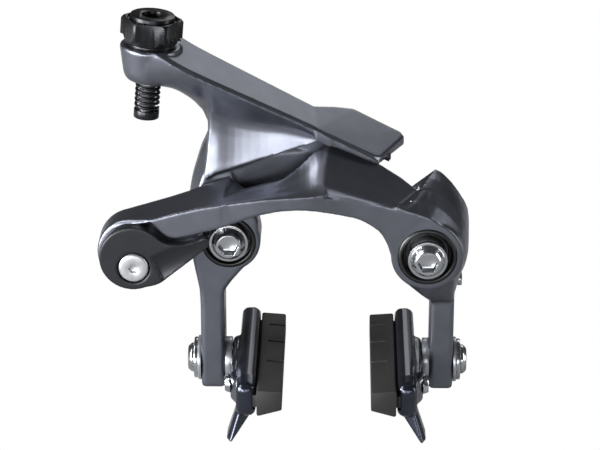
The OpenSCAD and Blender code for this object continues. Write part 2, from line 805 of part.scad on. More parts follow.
module detent_washer() {
    color("silver")
        on_cable_line(nut_z - 0.1)
            difference() {
                cylinder(d = 13.6, h = detent_t, $fn = 64);
                translate([0, 0, -1])
                    cylinder(d = stem_d + 2 * slip_gap, h = 5, $fn = 48);
            }
}

// Coil of the barrel spring: rings along a helix that winds downwards
coil_sides = 6;
coil_rings = 8;
coil_mid_r = (coil_d - coil_wire) / 2;
coil_path = [for (i = [0:coil_turns * coil_rings])
    let (a = 360 * i / coil_rings)
    [coil_mid_r * cos(a), coil_mid_r * sin(a), -coil_wire / 2 - coil_pitch * i / coil_rings]];
coil_gap = min([for (i = [0:len(coil_path) - 1 - coil_rings]) norm(coil_path[i] - coil_path[i + coil_rings])])
    - coil_wire;
echo(barrel_spring_gap = coil_gap);

module barrel_spring() {
    color("#1c1d20")
        on_cable_line(coil_top)
            wire(coil_path, coil_wire / 2, coil_sides, [for (p = coil_path) [p.x, p.y, 0]]);
}

// Brake shoes, drawn on the right and mirrored to the left

boss_y0 = shoe_y - 18;
boss_y1 = shoe_y + 6.5;
tongue_t = 3;
tongue_gap = 0.08;
fin_y0 = holder_y0 + 0.6;
fin_y1 = holder_y0 + 8;
groove_y = [4, -7.4, -20.8];
pad_screw_y = -26;
pad_screw_z = -reach - 0.8;
groove_depth = 4.8;
bolt_tip = holder_back - 2.3;

module on_side(side) {
    mirror([side < 0 ? 1 : 0, 0, 0])
        children();
}

module shoe_holder(side) {
    color("#3a3e4a")
        on_side(side)
            difference() {
                union() {
                    slab(holder_y0, holder_y0 + holder_len)
                        polygon(rounded([[holder_face, holder_top, 1], [holder_face, holder_top - holder_h, 1],
                            [holder_back, holder_top - holder_h, 2], [holder_back, holder_top, 2]]));
                    slab(boss_y0, boss_y1)
                        polygon(rounded([[holder_back - 1, holder_top - 0.4, 0], [holder_back - 1, -reach - 6.2, 0],
                            [holder_back + boss_out, -reach - 5, 1.5], [holder_back + boss_out, holder_top - 0.8, 1.5]]));
                    slab(fin_y0, fin_y1)
                        polygon(rounded([[holder_face + 0.4, -reach - 5, 0], [holder_back, -reach - 5, 0],
                            [holder_back + 2.7, -reach - 13, 0.8], [holder_back + 1, -reach - 13.2, 0.8]]));
                }
                slab(holder_y0 - 1, holder_y0 + holder_len - 2.5)
                    polygon(tongue_outline(tongue_gap));
                cross_rod(shoe_bolt_d + 2 * press_gap, bolt_tip - 0.2, limb_outer, shoe_y, -reach);
                cross_rod(pad_screw_d + 2 * press_gap, holder_face, limb_outer, pad_screw_y, pad_screw_z);
            }
}

function tongue_outline(gap) = [
    [holder_face - 1, pad_top - 2.4 + gap], [holder_face + 1, pad_top - 2.4 + gap],
    [holder_face + tongue_t + gap, pad_top - 0.9 + gap], [holder_face + tongue_t + gap, pad_top - pad_h + 0.5 - gap],
    [holder_face + 1, pad_top - pad_h + 2 - gap], [holder_face - 1, pad_top - pad_h + 2 - gap]];

module pad(side) {
    color("#1b1b1d")
        on_side(side)
            difference() {
                union() {
                    slab(pad_y0, pad_y0 + pad_len)
                        polygon(rounded([[pad_face, pad_top - 0.5, 0.6], [pad_face, pad_top - pad_h + 2, 0.6],
                            [holder_face - tongue_gap, pad_top - pad_h, 0.6], [holder_face - tongue_gap, pad_top, 0.6]]));
                    slab(pad_y0 + 2, holder_y0 + holder_len - 2.7)
                        polygon(tongue_outline(0));
                }
                for (y = groove_y)
                    translate([pad_face - 1, y - groove_w / 2, pad_top - 20])
                        cube([groove_depth + 1, groove_w, 40]);
                cross_rod(pad_screw_d + 0.4, holder_face + 1, limb_outer, pad_screw_y, pad_screw_z);
            }
}

module pad_screw(side) {
    color("gainsboro")
        on_side(side) {
            cross_rod(pad_screw_d, holder_face + 1.2, holder_back + boss_out + 0.5, pad_screw_y, pad_screw_z);
            translate([holder_back + boss_out, pad_screw_y, pad_screw_z])
                rotate([0, 90, 0])
                    cylinder(d1 = 5.8, d2 = 4.6, h = 1.6, $fn = 48);
        }
}

flat_x = limb_outer + flat_t;
dished_x = flat_x + dish_t;
module shoe_bolt(side) {
    color("gainsboro")
        on_side(side)
            difference() {
                union() {
                    cross_rod(shoe_bolt_d, bolt_tip, dished_x + 0.5, shoe_y, -reach);
                    translate([dished_x, shoe_y, -reach])
                        rotate([0, 90, 0])
                            rotate_extrude($fn = 64)
                                polygon([[0, 0], [shoe_head_d / 2, 0], [shoe_head_d / 2, 0.8],
                                    [shoe_head_d / 2 - 0.9, 1.8], [0, 1.9]]);
                }
                cross_rod(4 / cos(30), dished_x + 0.4, dished_x + 5, shoe_y, -reach, 6);
            }
}

module washer_x(side, od, x, t, id = shoe_bolt_d + 0.4) {
    on_side(side)
        difference() {
            cross_rod(od, x, x + t, shoe_y, -reach, 64);
            cross_rod(id, x - 1, x + t + 1, shoe_y, -reach);
        }
}

module flat_washer(side) {
    color("silver")
        washer_x(side, washer_d + 0.4, limb_outer, flat_t);
}

module dished_washer(side) {
    color("gainsboro")
        washer_x(side, washer_d - 0.6, flat_x, dish_t);
}

module inner_washer(side) {
    color("silver")
        washer_x(side, washer_d - 0.3, holder_back + boss_out, seat_washer_t);
}

back_plate();
pivot_sleeve(-1, sleeve_front[0]);  // left_pivot_sleeve
pivot_sleeve(1, sleeve_front[1]);  // right_pivot_sleeve
mount_bolt(-1, bolt_under[0]);  // left_mount_bolt
mount_bolt(1, bolt_under[1]);  // right_mount_bolt
bolt_washers();
thrust_washers();
return_spring();
front_arm();
bush(1, front_front + cover_h + 0.3);  // right_bush
cover(1, cover_right_d, front_front);  // right_cover
contact_roller();
roller_pin();
centering_screw();
spring_seat(1);  // right_spring_seat
hook_pin();
rear_arm();
bush(-1, rear_front + cover_h + 0.3);  // left_bush
cover(-1, cover_left_d, rear_front);  // left_cover
contact_plate();
spring_seat(-1);  // left_spring_seat
quick_release_lever();
anchor_bolt();
clamp_washer();
anchor_nut();
barrel_nut();
barrel_stem();
barrel_collar();
barrel_spring();
detent_washer();
shoe_holder(-1);  // left_shoe_holder
pad(-1);  // left_pad
pad_screw(-1);  // left_pad_screw
shoe_bolt(-1);  // left_shoe_bolt
flat_washer(-1);  // left_flat_washer
dished_washer(-1);  // left_dished_washer
inner_washer(-1);  // left_inner_washer
shoe_holder(1);  // right_shoe_holder
pad(1);  // right_pad
pad_screw(1);  // right_pad_screw
shoe_bolt(1);  // right_shoe_bolt
flat_washer(1);  // right_flat_washer
dished_washer(1);  // right_dished_washer
inner_washer(1);  // right_inner_washer
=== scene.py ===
"""Looks of a bicycle rim brake caliper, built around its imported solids."""

import json
import logging
import math
from dataclasses import dataclass
from enum import Enum
from typing import Callable, Iterable, Sequence

import bmesh
import bpy
from mathutils import Matrix, Vector


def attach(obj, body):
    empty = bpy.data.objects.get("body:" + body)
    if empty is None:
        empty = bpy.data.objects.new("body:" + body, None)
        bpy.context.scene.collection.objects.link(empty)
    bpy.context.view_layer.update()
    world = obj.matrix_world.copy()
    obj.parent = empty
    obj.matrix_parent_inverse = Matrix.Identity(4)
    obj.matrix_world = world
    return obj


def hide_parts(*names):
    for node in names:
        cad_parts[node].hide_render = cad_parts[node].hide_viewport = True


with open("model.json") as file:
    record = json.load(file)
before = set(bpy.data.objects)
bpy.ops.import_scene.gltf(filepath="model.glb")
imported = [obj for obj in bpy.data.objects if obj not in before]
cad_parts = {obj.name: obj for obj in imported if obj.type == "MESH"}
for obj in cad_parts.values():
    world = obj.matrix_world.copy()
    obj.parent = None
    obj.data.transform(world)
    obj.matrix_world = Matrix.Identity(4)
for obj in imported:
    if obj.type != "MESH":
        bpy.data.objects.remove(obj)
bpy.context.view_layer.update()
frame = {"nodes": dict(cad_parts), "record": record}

MM = 0.001
ROUND_STEPS = 96
LOG = logging.getLogger("caliper")
Point = tuple[float, float, float]
Corner = tuple[float, float]


def linear(code: str) -> tuple[float, float, float, float]:
    """Turns an sRGB hex colour into Blender's linear colour.

    Args:
        code: colour such as "#6a6d74".

    Returns:
        Linear red, green, blue and an alpha of 1.
    """
    parts = [int(code[i:i + 2], 16) / 255 for i in (1, 3, 5)]
    low = [c / 12.92 if c <= 0.04045 else ((c + 0.055) / 1.055) ** 2.4 for c in parts]
    return (low[0], low[1], low[2], 1.0)


def add_node(tree: bpy.types.NodeTree, kind: str, settings: dict | None = None, **sockets) -> bpy.types.Node:
    """Adds one node with its settings, socket values and links.

    Args:
        tree: node tree that gets the node.
        kind: node type, such as "ShaderNodeBump".
        settings: attributes set on the node itself.
        **sockets: input name, with spaces as underscores, to a value or an output socket.

    Returns:
        The new node.
    """
    made = tree.nodes.new(kind)
    for name, value in (settings or {}).items():
        setattr(made, name, value)
    for name, value in sockets.items():
        socket = made.inputs[name.replace("_", " ")]
        if isinstance(value, bpy.types.NodeSocket):
            tree.links.new(value, socket)
        else:
            socket.default_value = value
    return made


class Grain(Enum):
    """How a surface was finished, which sets the pattern of its fine relief."""

    CAST = "cast and painted"
    TURNED = "turned"
    DRAWN = "drawn"
    MOULDED = "moulded"


@dataclass(frozen=True)
class Finish:
    """One finish: what it is made of and how light meets it."""

    name: str
    colour: str
    second: str
    metallic: float
    roughness: float
    grain: Grain
    grain_mm: float
    relief_mm: float
    coat: float = 0.0
    coat_roughness: float = 0.1
    spread: float = 0.06

    def material(self) -> bpy.types.Material:
        """Builds the procedural material of this finish.

        Returns:
            The material, made once and then reused.
        """
        known = bpy.data.materials.get(self.name)
        if known:
            return known
        made = bpy.data.materials.new(self.name)
        made.use_nodes = True
        tree = made.node_tree
        tree.nodes.clear()
        place = add_node(tree, "ShaderNodeTexCoord")
        per_metre = 1 / (self.grain_mm * MM)
        where = place.outputs["Object"]
        if self.grain is Grain.DRAWN:
            stretch = add_node(tree, "ShaderNodeMapping", Vector=where, Scale=(1.0, 1.0, 0.12))
            where = stretch.outputs["Vector"]
        fine = add_node(tree, "ShaderNodeTexNoise", Vector=where, Scale=per_metre, Detail=3.0, Roughness=0.55)
        broad = add_node(tree, "ShaderNodeTexNoise", Vector=place.outputs["Object"], Scale=per_metre / 28,
                         Detail=2.0, Roughness=0.5)
        tint = add_node(tree, "ShaderNodeValToRGB", Fac=broad.outputs["Fac"])
        tint.color_ramp.elements[0].position = 0.32
        tint.color_ramp.elements[0].color = linear(self.colour)
        tint.color_ramp.elements[1].position = 0.72
        tint.color_ramp.elements[1].color = linear(self.second)
        gloss = add_node(tree, "ShaderNodeMapRange", Value=fine.outputs["Fac"],
                         To_Min=max(0.02, self.roughness - self.spread), To_Max=self.roughness + self.spread)
        relief = add_node(tree, "ShaderNodeBump", Height=fine.outputs["Fac"], Strength=0.5,
                          Distance=self.relief_mm * MM)
        shader = add_node(tree, "ShaderNodeBsdfPrincipled", Base_Color=tint.outputs["Color"],
                          Metallic=self.metallic, Roughness=gloss.outputs["Result"],
                          Normal=relief.outputs["Normal"], Coat_Weight=self.coat,
                          Coat_Roughness=self.coat_roughness)
        add_node(tree, "ShaderNodeOutputMaterial", Surface=shader.outputs["BSDF"])
        return made


# Cast aluminium arms under a satin graphite paint: soft wide highlights with a faint metal grain
ARM_PAINT = Finish("satin_graphite_alloy", "#676a73", "#6e717a", 0.95, 0.33, Grain.CAST, 0.22, 0.006)
# Forged lever under a darker satin coat: almost black, with one broad soft highlight
LEVER_PAINT = Finish("charcoal_lever", "#222428", "#27282d", 0.55, 0.36, Grain.CAST, 0.25, 0.006)
# Bright zinc-plated bolts and washers: clear reflections with fine turning marks
BRIGHT_STEEL = Finish("bright_zinc_steel", "#c4c7cb", "#b4b7bb", 1.0, 0.2, Grain.TURNED, 0.3, 0.004)
# Nickel plate brushed in rings: pale, with a wide soft glow
BRUSHED_NICKEL = Finish("brushed_nickel", "#b6b8bb", "#a9abae", 0.85, 0.38, Grain.TURNED, 0.2, 0.008)
# Plain zinc-plated washers and sleeves: a little duller and greyer
DULL_STEEL = Finish("dull_zinc_steel", "#b4b7bb", "#a6a9ad", 0.8, 0.32, Grain.TURNED, 0.25, 0.006)
# Drawn spring wire: long faint draw marks along the wire
SPRING_STEEL = Finish("drawn_spring_steel", "#8d9094", "#7f8286", 1.0, 0.28, Grain.DRAWN, 0.15, 0.005)
# Black oxide on steel: dark with small sharp highlights
BLACK_STEEL = Finish("black_oxide_steel", "#1a1b1e", "#212225", 0.7, 0.27, Grain.TURNED, 0.25, 0.005)
# Moulded glass-filled nylon: black, slightly rough, with sharp small highlights
BLACK_NYLON = Finish("black_nylon", "#0d0e10", "#121315", 0.0, 0.3, Grain.MOULDED, 0.2, 0.01)
# Painted steel back plate: even satin black
PLATE_PAINT = Finish("black_plate_paint", "#1b1c1f", "#202125", 0.2, 0.42, Grain.CAST, 0.25, 0.008)
# Polished alloy shoe holders under dark blue-grey lacquer: glossy, with white streaks of light
SHOE_LACQUER = Finish("dark_shoe_lacquer", "#2f333e", "#363a46", 0.85, 0.24, Grain.CAST, 0.3, 0.004,
                      coat=0.4, coat_roughness=0.12)
# Moulded brake rubber: matt black with a dusty grain
PAD_RUBBER = Finish("brake_rubber", "#131314", "#1a1a1b", 0.0, 0.62, Grain.MOULDED, 0.35, 0.03)


def curve_through(points: Sequence[Sequence[float]], steps: int) -> list[tuple[float, ...]]:
    """Samples a smooth curve through points of any dimension.

    Args:
        points: the points that the curve passes through.
        steps: samples from each point to the next.

    Returns:
        The sampled points, the last one included.
    """
    out: list[tuple[float, ...]] = []
    last = len(points) - 1
    for i in range(last):
        a, b, c, d = (points[max(i - 1, 0)], points[i], points[i + 1], points[min(i + 2, last)])
        for s in range(steps):
            t = s / steps
            out.append(tuple(
                0.5 * (2 * q + (r - p) * t + (2 * p - 5 * q + 4 * r - w) * t * t + (3 * q - p - 3 * r + w) * t ** 3)
                for p, q, r, w in zip(a, b, c, d)))
    out.append(tuple(points[last]))
    return out


def smooth_sheet(rows: Sequence[Sequence[Point]], along: int, across: int = 1) -> list[list[Point]]:
    """Refines a sheet of points with smooth curves.

    Args:
        rows: rows of equally many points.
        along: samples from each row to the next.
        across: samples from each point of a row to the next.

    Returns:
        The refined rows.
    """
    if across > 1:
        rows = [curve_through(row, across) for row in rows]
    flat = [[c for p in row for c in p] for row in rows]
    return [[tuple(row[i:i + 3]) for i in range(0, len(row), 3)] for row in curve_through(flat, along)]


class Clay:
    """Lumps that overlap and are then melted into one smooth casting."""

    def __init__(self) -> None:
        """Starts with nothing."""
        self.bm = bmesh.new()

    def hull(self, corners: Iterable[Point], radius: float = 0.9) -> None:
        """Adds a convex lump whose corners are balls.

        Args:
            corners: ball centres in millimetres.
            radius: ball radius in millimetres.
        """
        lump = bmesh.new()
        for corner in corners:
            bmesh.ops.create_icosphere(lump, subdivisions=2, radius=radius * MM,
                                       matrix=Matrix.Translation(Vector(corner) * MM))
        self._wrap(lump)

    def chain(self, sections: Sequence[Sequence[Point]], radius: float = 0.9, steps: int = 1) -> None:
        """Adds a run of hulls from each section to the next.

        Args:
            sections: sections of equally many points, in millimetres.
            radius: ball radius in millimetres.
            steps: sections made between each pair, along smooth curves.
        """
        finer = smooth_sheet(sections, steps)
        for one, two in zip(finer, finer[1:]):
            self.hull(one + two, radius)

    def relief(self, rows: Sequence[Sequence[Point]], push: Callable[[Point], Point]) -> None:
        """Adds a sheet of points with body behind it.

        Args:
            rows: rows of equally many points on the surface.
            push: gives the point behind each surface point.
        """
        for one, two in zip(rows, rows[1:]):
            for i in range(len(one) - 1):
                quad = (one[i], one[i + 1], two[i], two[i + 1])
                lump = bmesh.new()
                for corner in (*quad, *(push(p) for p in quad)):
                    lump.verts.new(Vector(corner) * MM)
                bmesh.ops.remove_doubles(lump, verts=lump.verts[:], dist=0.01 * MM)
                self._wrap(lump)

    def rod(self, radius: float, at: Corner, front: float, back: float, edge: float = 0.8) -> None:
        """Adds a round lump along Y with rounded rims.

        Args:
            radius: outer radius in millimetres.
            at: centre in X and Z.
            front: depth of its front face.
            back: depth of its back face.
            edge: radius of its rims.
        """
        lump = drill_y(radius, at, front, back)
        rims = [e for e in lump.edges if e.calc_face_angle(0) > 1.2]
        bmesh.ops.bevel(lump, geom=rims, offset=edge * MM, segments=3, profile=0.5, affect="EDGES", material=-1)
        self._keep(lump)

    def turned(self, profile: Sequence[Corner], placement: Matrix) -> None:
        """Adds a turned lump.

        Args:
            profile: radius and height points in millimetres, from the axis back to the axis.
            placement: where its foot stands, with its axis along Z.
        """
        self._keep(turned_mesh(profile, placement))

    def _wrap(self, lump: bmesh.types.BMesh) -> None:
        """Gives a lump a convex skin and keeps it."""
        result = bmesh.ops.convex_hull(lump, input=lump.verts[:], use_existing_faces=False)
        spare = {v for v in result["geom_interior"] + result["geom_unused"] if isinstance(v, bmesh.types.BMVert)}
        bmesh.ops.delete(lump, geom=list(spare), context="VERTS")
        self._keep(lump)

    def _keep(self, lump: bmesh.types.BMesh) -> None:
        """Moves a finished lump into the clay."""
        bmesh.ops.recalc_face_normals(lump, faces=lump.faces[:])
        spare = bpy.data.meshes.new("lump")
        lump.to_mesh(spare)
        lump.free()
        self.bm.from_mesh(spare)
        bpy.data.meshes.remove(spare)

    def cast(self, name: str, voxel: float, smoothing: int) -> bpy.types.Object:
        """Melts the lumps into one skin.

        Args:
            name: name of the piece.
            voxel: size of the melting grid in millimetres.
            smoothing: passes that soften the skin.

        Returns:
            The new piece, with its place in its mesh.
        """
        piece = from_bmesh(name, self.bm)
        melt = piece.modifiers.new("melt", "REMESH")
        melt.mode = "VOXEL"
        melt.voxel_size = voxel * MM
        soften = piece.modifiers.new("soften", "SMOOTH")
        soften.factor = 0.5
        soften.iterations = smoothing
        settle(piece)
        return piece


def settle(piece: bpy.types.Object) -> None:
    """Applies a piece's modifiers.

    Args:
        piece: the piece whose modifiers become its mesh.
    """
    graph = bpy.context.evaluated_depsgraph_get()
    done = bpy.data.meshes.new_from_object(piece.evaluated_get(graph))
    old = piece.data
    piece.modifiers.clear()
    piece.data = done
    bpy.data.meshes.remove(old)


def cut(piece: bpy.types.Object, cutters: Sequence[bmesh.types.BMesh]) -> None:
    """Cuts shapes out of a piece.

    Args:
        piece: the piece that is cut.
        cutters: closed shapes, which are used up.
    """
    tools = []
    for shape in cutters:
        bmesh.ops.recalc_face_normals(shape, faces=shape.faces[:])
        tool = from_bmesh("cutter", shape)
        tools.append(tool)
        drill = piece.modifiers.new("drill", "BOOLEAN")
        drill.operation = "DIFFERENCE"
        drill.solver = "EXACT"
        drill.object = tool
    settle(piece)
    for tool in tools:
        mesh = tool.data
        bpy.data.objects.remove(tool)
        bpy.data.meshes.remove(mesh)


def bar(radius: float, middle: Point, length: float, about: str, segments: int) -> bmesh.types.BMesh:
    """Makes a lying round bar.

    Args:
        radius: radius in millimetres.
        middle: its middle in millimetres.
        length: length in millimetres.
        about: axis that it is turned about, "X" to lie along Y and "Y" to lie along X.
        segments: steps round it.

    Returns:
        The closed bar.
    """
    shape = bmesh.new()
    bmesh.ops.create_cone(shape, cap_ends=True, segments=segments, radius1=radius * MM, radius2=radius * MM,
                          depth=length * MM,
                          matrix=Matrix.Translation(Vector(middle) * MM) @ Matrix.Rotation(math.pi / 2, 4, about))
    return shape


def drill_y(radius: float, at: Corner, front: float, back: float) -> bmesh.types.BMesh:
    """Makes a round cutter along Y.

    Args:
        radius: radius in millimetres.
        at: centre in X and Z.
        front: depth of its front end.
        back: depth of its back end.

    Returns:
        The closed cutter.
    """
    return bar(radius, (at[0], (front + back) / 2, at[1]), back - front, "X", ROUND_STEPS)


def drill_x(radius: float, at: Corner, left: float, right: float) -> bmesh.types.BMesh:
    """Makes a round cutter along X.

    Args:
        radius: radius in millimetres.
        at: centre in Y and Z.
        left: its left end.
        right: its right end.

    Returns:
        The closed cutter.
    """
    return bar(radius, ((left + right) / 2, at[0], at[1]), right - left, "Y", 64)


def block(low: Point, high: Point) -> bmesh.types.BMesh:
    """Makes a box between two corners in millimetres.

    Args:
        low: lowest corner.
        high: highest corner.

    Returns:
        The closed box.
    """
    shape = bmesh.new()
    size = Vector(high) - Vector(low)
    middle = (Vector(high) + Vector(low)) / 2
    bmesh.ops.create_cube(shape, size=1.0,
                          matrix=Matrix.Translation(middle * MM) @ Matrix.Diagonal((*(size * MM), 1.0)))
    return shape


def turned_mesh(profile: Sequence[Corner], placement: Matrix) -> bmesh.types.BMesh:
    """Spins a profile about Z into a closed shape.

    Args:
        profile: radius and height points in millimetres.
        placement: where the foot of the axis stands.

    Returns:
        The turned shape.
    """
    shape = bmesh.new()
    points = [shape.verts.new((r * MM, 0.0, h * MM)) for r, h in profile]
    lines = [shape.edges.new(pair) for pair in zip(points, points[1:])]
    bmesh.ops.spin(shape, geom=points + lines, cent=(0, 0, 0), axis=(0, 0, 1), angle=math.tau,
                   steps=ROUND_STEPS, use_merge=True)
    bmesh.ops.remove_doubles(shape, verts=shape.verts[:], dist=0.002 * MM)
    bmesh.ops.recalc_face_normals(shape, faces=shape.faces[:])
    bmesh.ops.transform(shape, matrix=placement, verts=shape.verts[:])
    return shape


def shade(piece: bpy.types.Object, sharp_degrees: float = 32.0) -> None:
    """Shades a piece smooth apart from its sharp edges.

    Args:
        piece: the piece to shade.
        sharp_degrees: angle above which an edge stays sharp.
    """
    bm = bmesh.new()
    bm.from_mesh(piece.data)
    limit = math.radians(sharp_degrees)
    for face in bm.faces:
        face.smooth = True
    for edge in bm.edges:
        edge.smooth = len(edge.link_faces) != 2 or edge.calc_face_angle(0) < limit
    bm.to_mesh(piece.data)
    bm.free()


def dress(piece: bpy.types.Object, finish: Finish, body: str, stands_for: Sequence[str]) -> None:
    """Gives a piece its finish, its body and the nodes that it stands for.

    Args:
        piece: the finished piece.
        finish: its finish.
        body: the body that it moves with.
        stands_for: names of the nodes that it replaces.
    """
    piece.data.materials.clear()
    piece.data.materials.append(finish.material())
    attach(piece, body)
    if stands_for:
        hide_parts(*stands_for)
    LOG.info("%s: %d faces on %s", piece.name, len(piece.data.polygons), body)


def placed(name: str, data: bpy.types.ID) -> bpy.types.Object:
    """Puts new data into the scene, at the origin.

    Args:
        name: name of the new object.
        data: its mesh, curve, lamp or camera.

    Returns:
        The new object.
    """
    made = bpy.data.objects.new(name, data)
    bpy.context.scene.collection.objects.link(made)
    return made


def from_bmesh(name: str, shape: bmesh.types.BMesh) -> bpy.types.Object:
    """Turns a shape into a piece.

    Args:
        name: name of the piece.
        shape: the shape, which is used up.

    Returns:
        The new piece.
    """
    mesh = bpy.data.meshes.new(name)
    shape.to_mesh(mesh)
    shape.free()
    return placed(name, mesh)


def softened_copy(node: str, name: str, edge: float) -> bpy.types.Object:
    """Copies a solid and rounds its edges.

    Args:
        node: name of the solid.
        name: name of the new piece.
        edge: width of the rounding in millimetres.

    Returns:
        The new piece.
    """
    bm = bmesh.new()
    bm.from_mesh(frame["nodes"][node].data)
    bmesh.ops.remove_doubles(bm, verts=bm.verts[:], dist=0.004 * MM)
    bmesh.ops.dissolve_limit(bm, angle_limit=math.radians(1.0), verts=bm.verts[:], edges=bm.edges[:])
    bmesh.ops.recalc_face_normals(bm, faces=bm.faces[:])
    piece = from_bmesh(name, bm)
    soften = piece.modifiers.new("edges", "BEVEL")
    soften.width = edge * MM
    soften.segments = 2
    soften.limit_method = "ANGLE"
    soften.angle_limit = math.radians(28.0)
    settle(piece)
    shade(piece, 40.0)
    return piece


def melted_copy(node: str, name: str, voxel: float, smoothing: int) -> bpy.types.Object:
    """Copies a solid and melts it into one soft skin.

    Args:
        node: name of the solid.
        name: name of the new piece.
        voxel: size of the melting grid in millimetres.
        smoothing: passes that soften the skin.

    Returns:
        The new piece.
    """
    clay = Clay()
    clay.bm.from_mesh(frame["nodes"][node].data)
    bmesh.ops.remove_doubles(clay.bm, verts=clay.bm.verts[:], dist=0.004 * MM)
    piece = clay.cast(name, voxel, smoothing)
    shade(piece, 50.0)
    return piece


# Slopes of the rear arm's top: down to the right, and up to the back on the beam and on the paddle
BEAM_FALL = 0.535
BEAM_RISE = 0.215
PADDLE_RISE = 0.293


def beam_top(x: float, y: float) -> float:
    """Height of the beam's top face, in millimetres."""
    return 53.4 - BEAM_FALL * (x + 38.7) + BEAM_RISE * (y + 24)


def paddle_top(x: float, y: float) -> float:
    """Height of the paddle's top face, in millimetres."""
    return 26.4 - BEAM_FALL * (x - 14) + PADDLE_RISE * (y + 18.5)


# The cable line, from its anchor up through the middle of the barrel
CABLE_TILT = math.radians(4.75)
ANCHOR = (-53.87, -1.65)
CABLE_Y = -15.5
# Y and Z of the bolt that holds a shoe, and passes of softening on both castings
SHOE_BOLT = (-10.8, -39.0)
CAST_PASSES = 9


def on_cable_line(height: float) -> Matrix:
    """Placement on the cable line at a height in millimetres, with Z along the line."""
    x = ANCHOR[0] + (height - ANCHOR[1]) * math.tan(CABLE_TILT)
    return Matrix.Translation(Vector((x, CABLE_Y, height)) * MM) @ Matrix.Rotation(CABLE_TILT, 4, "Y")


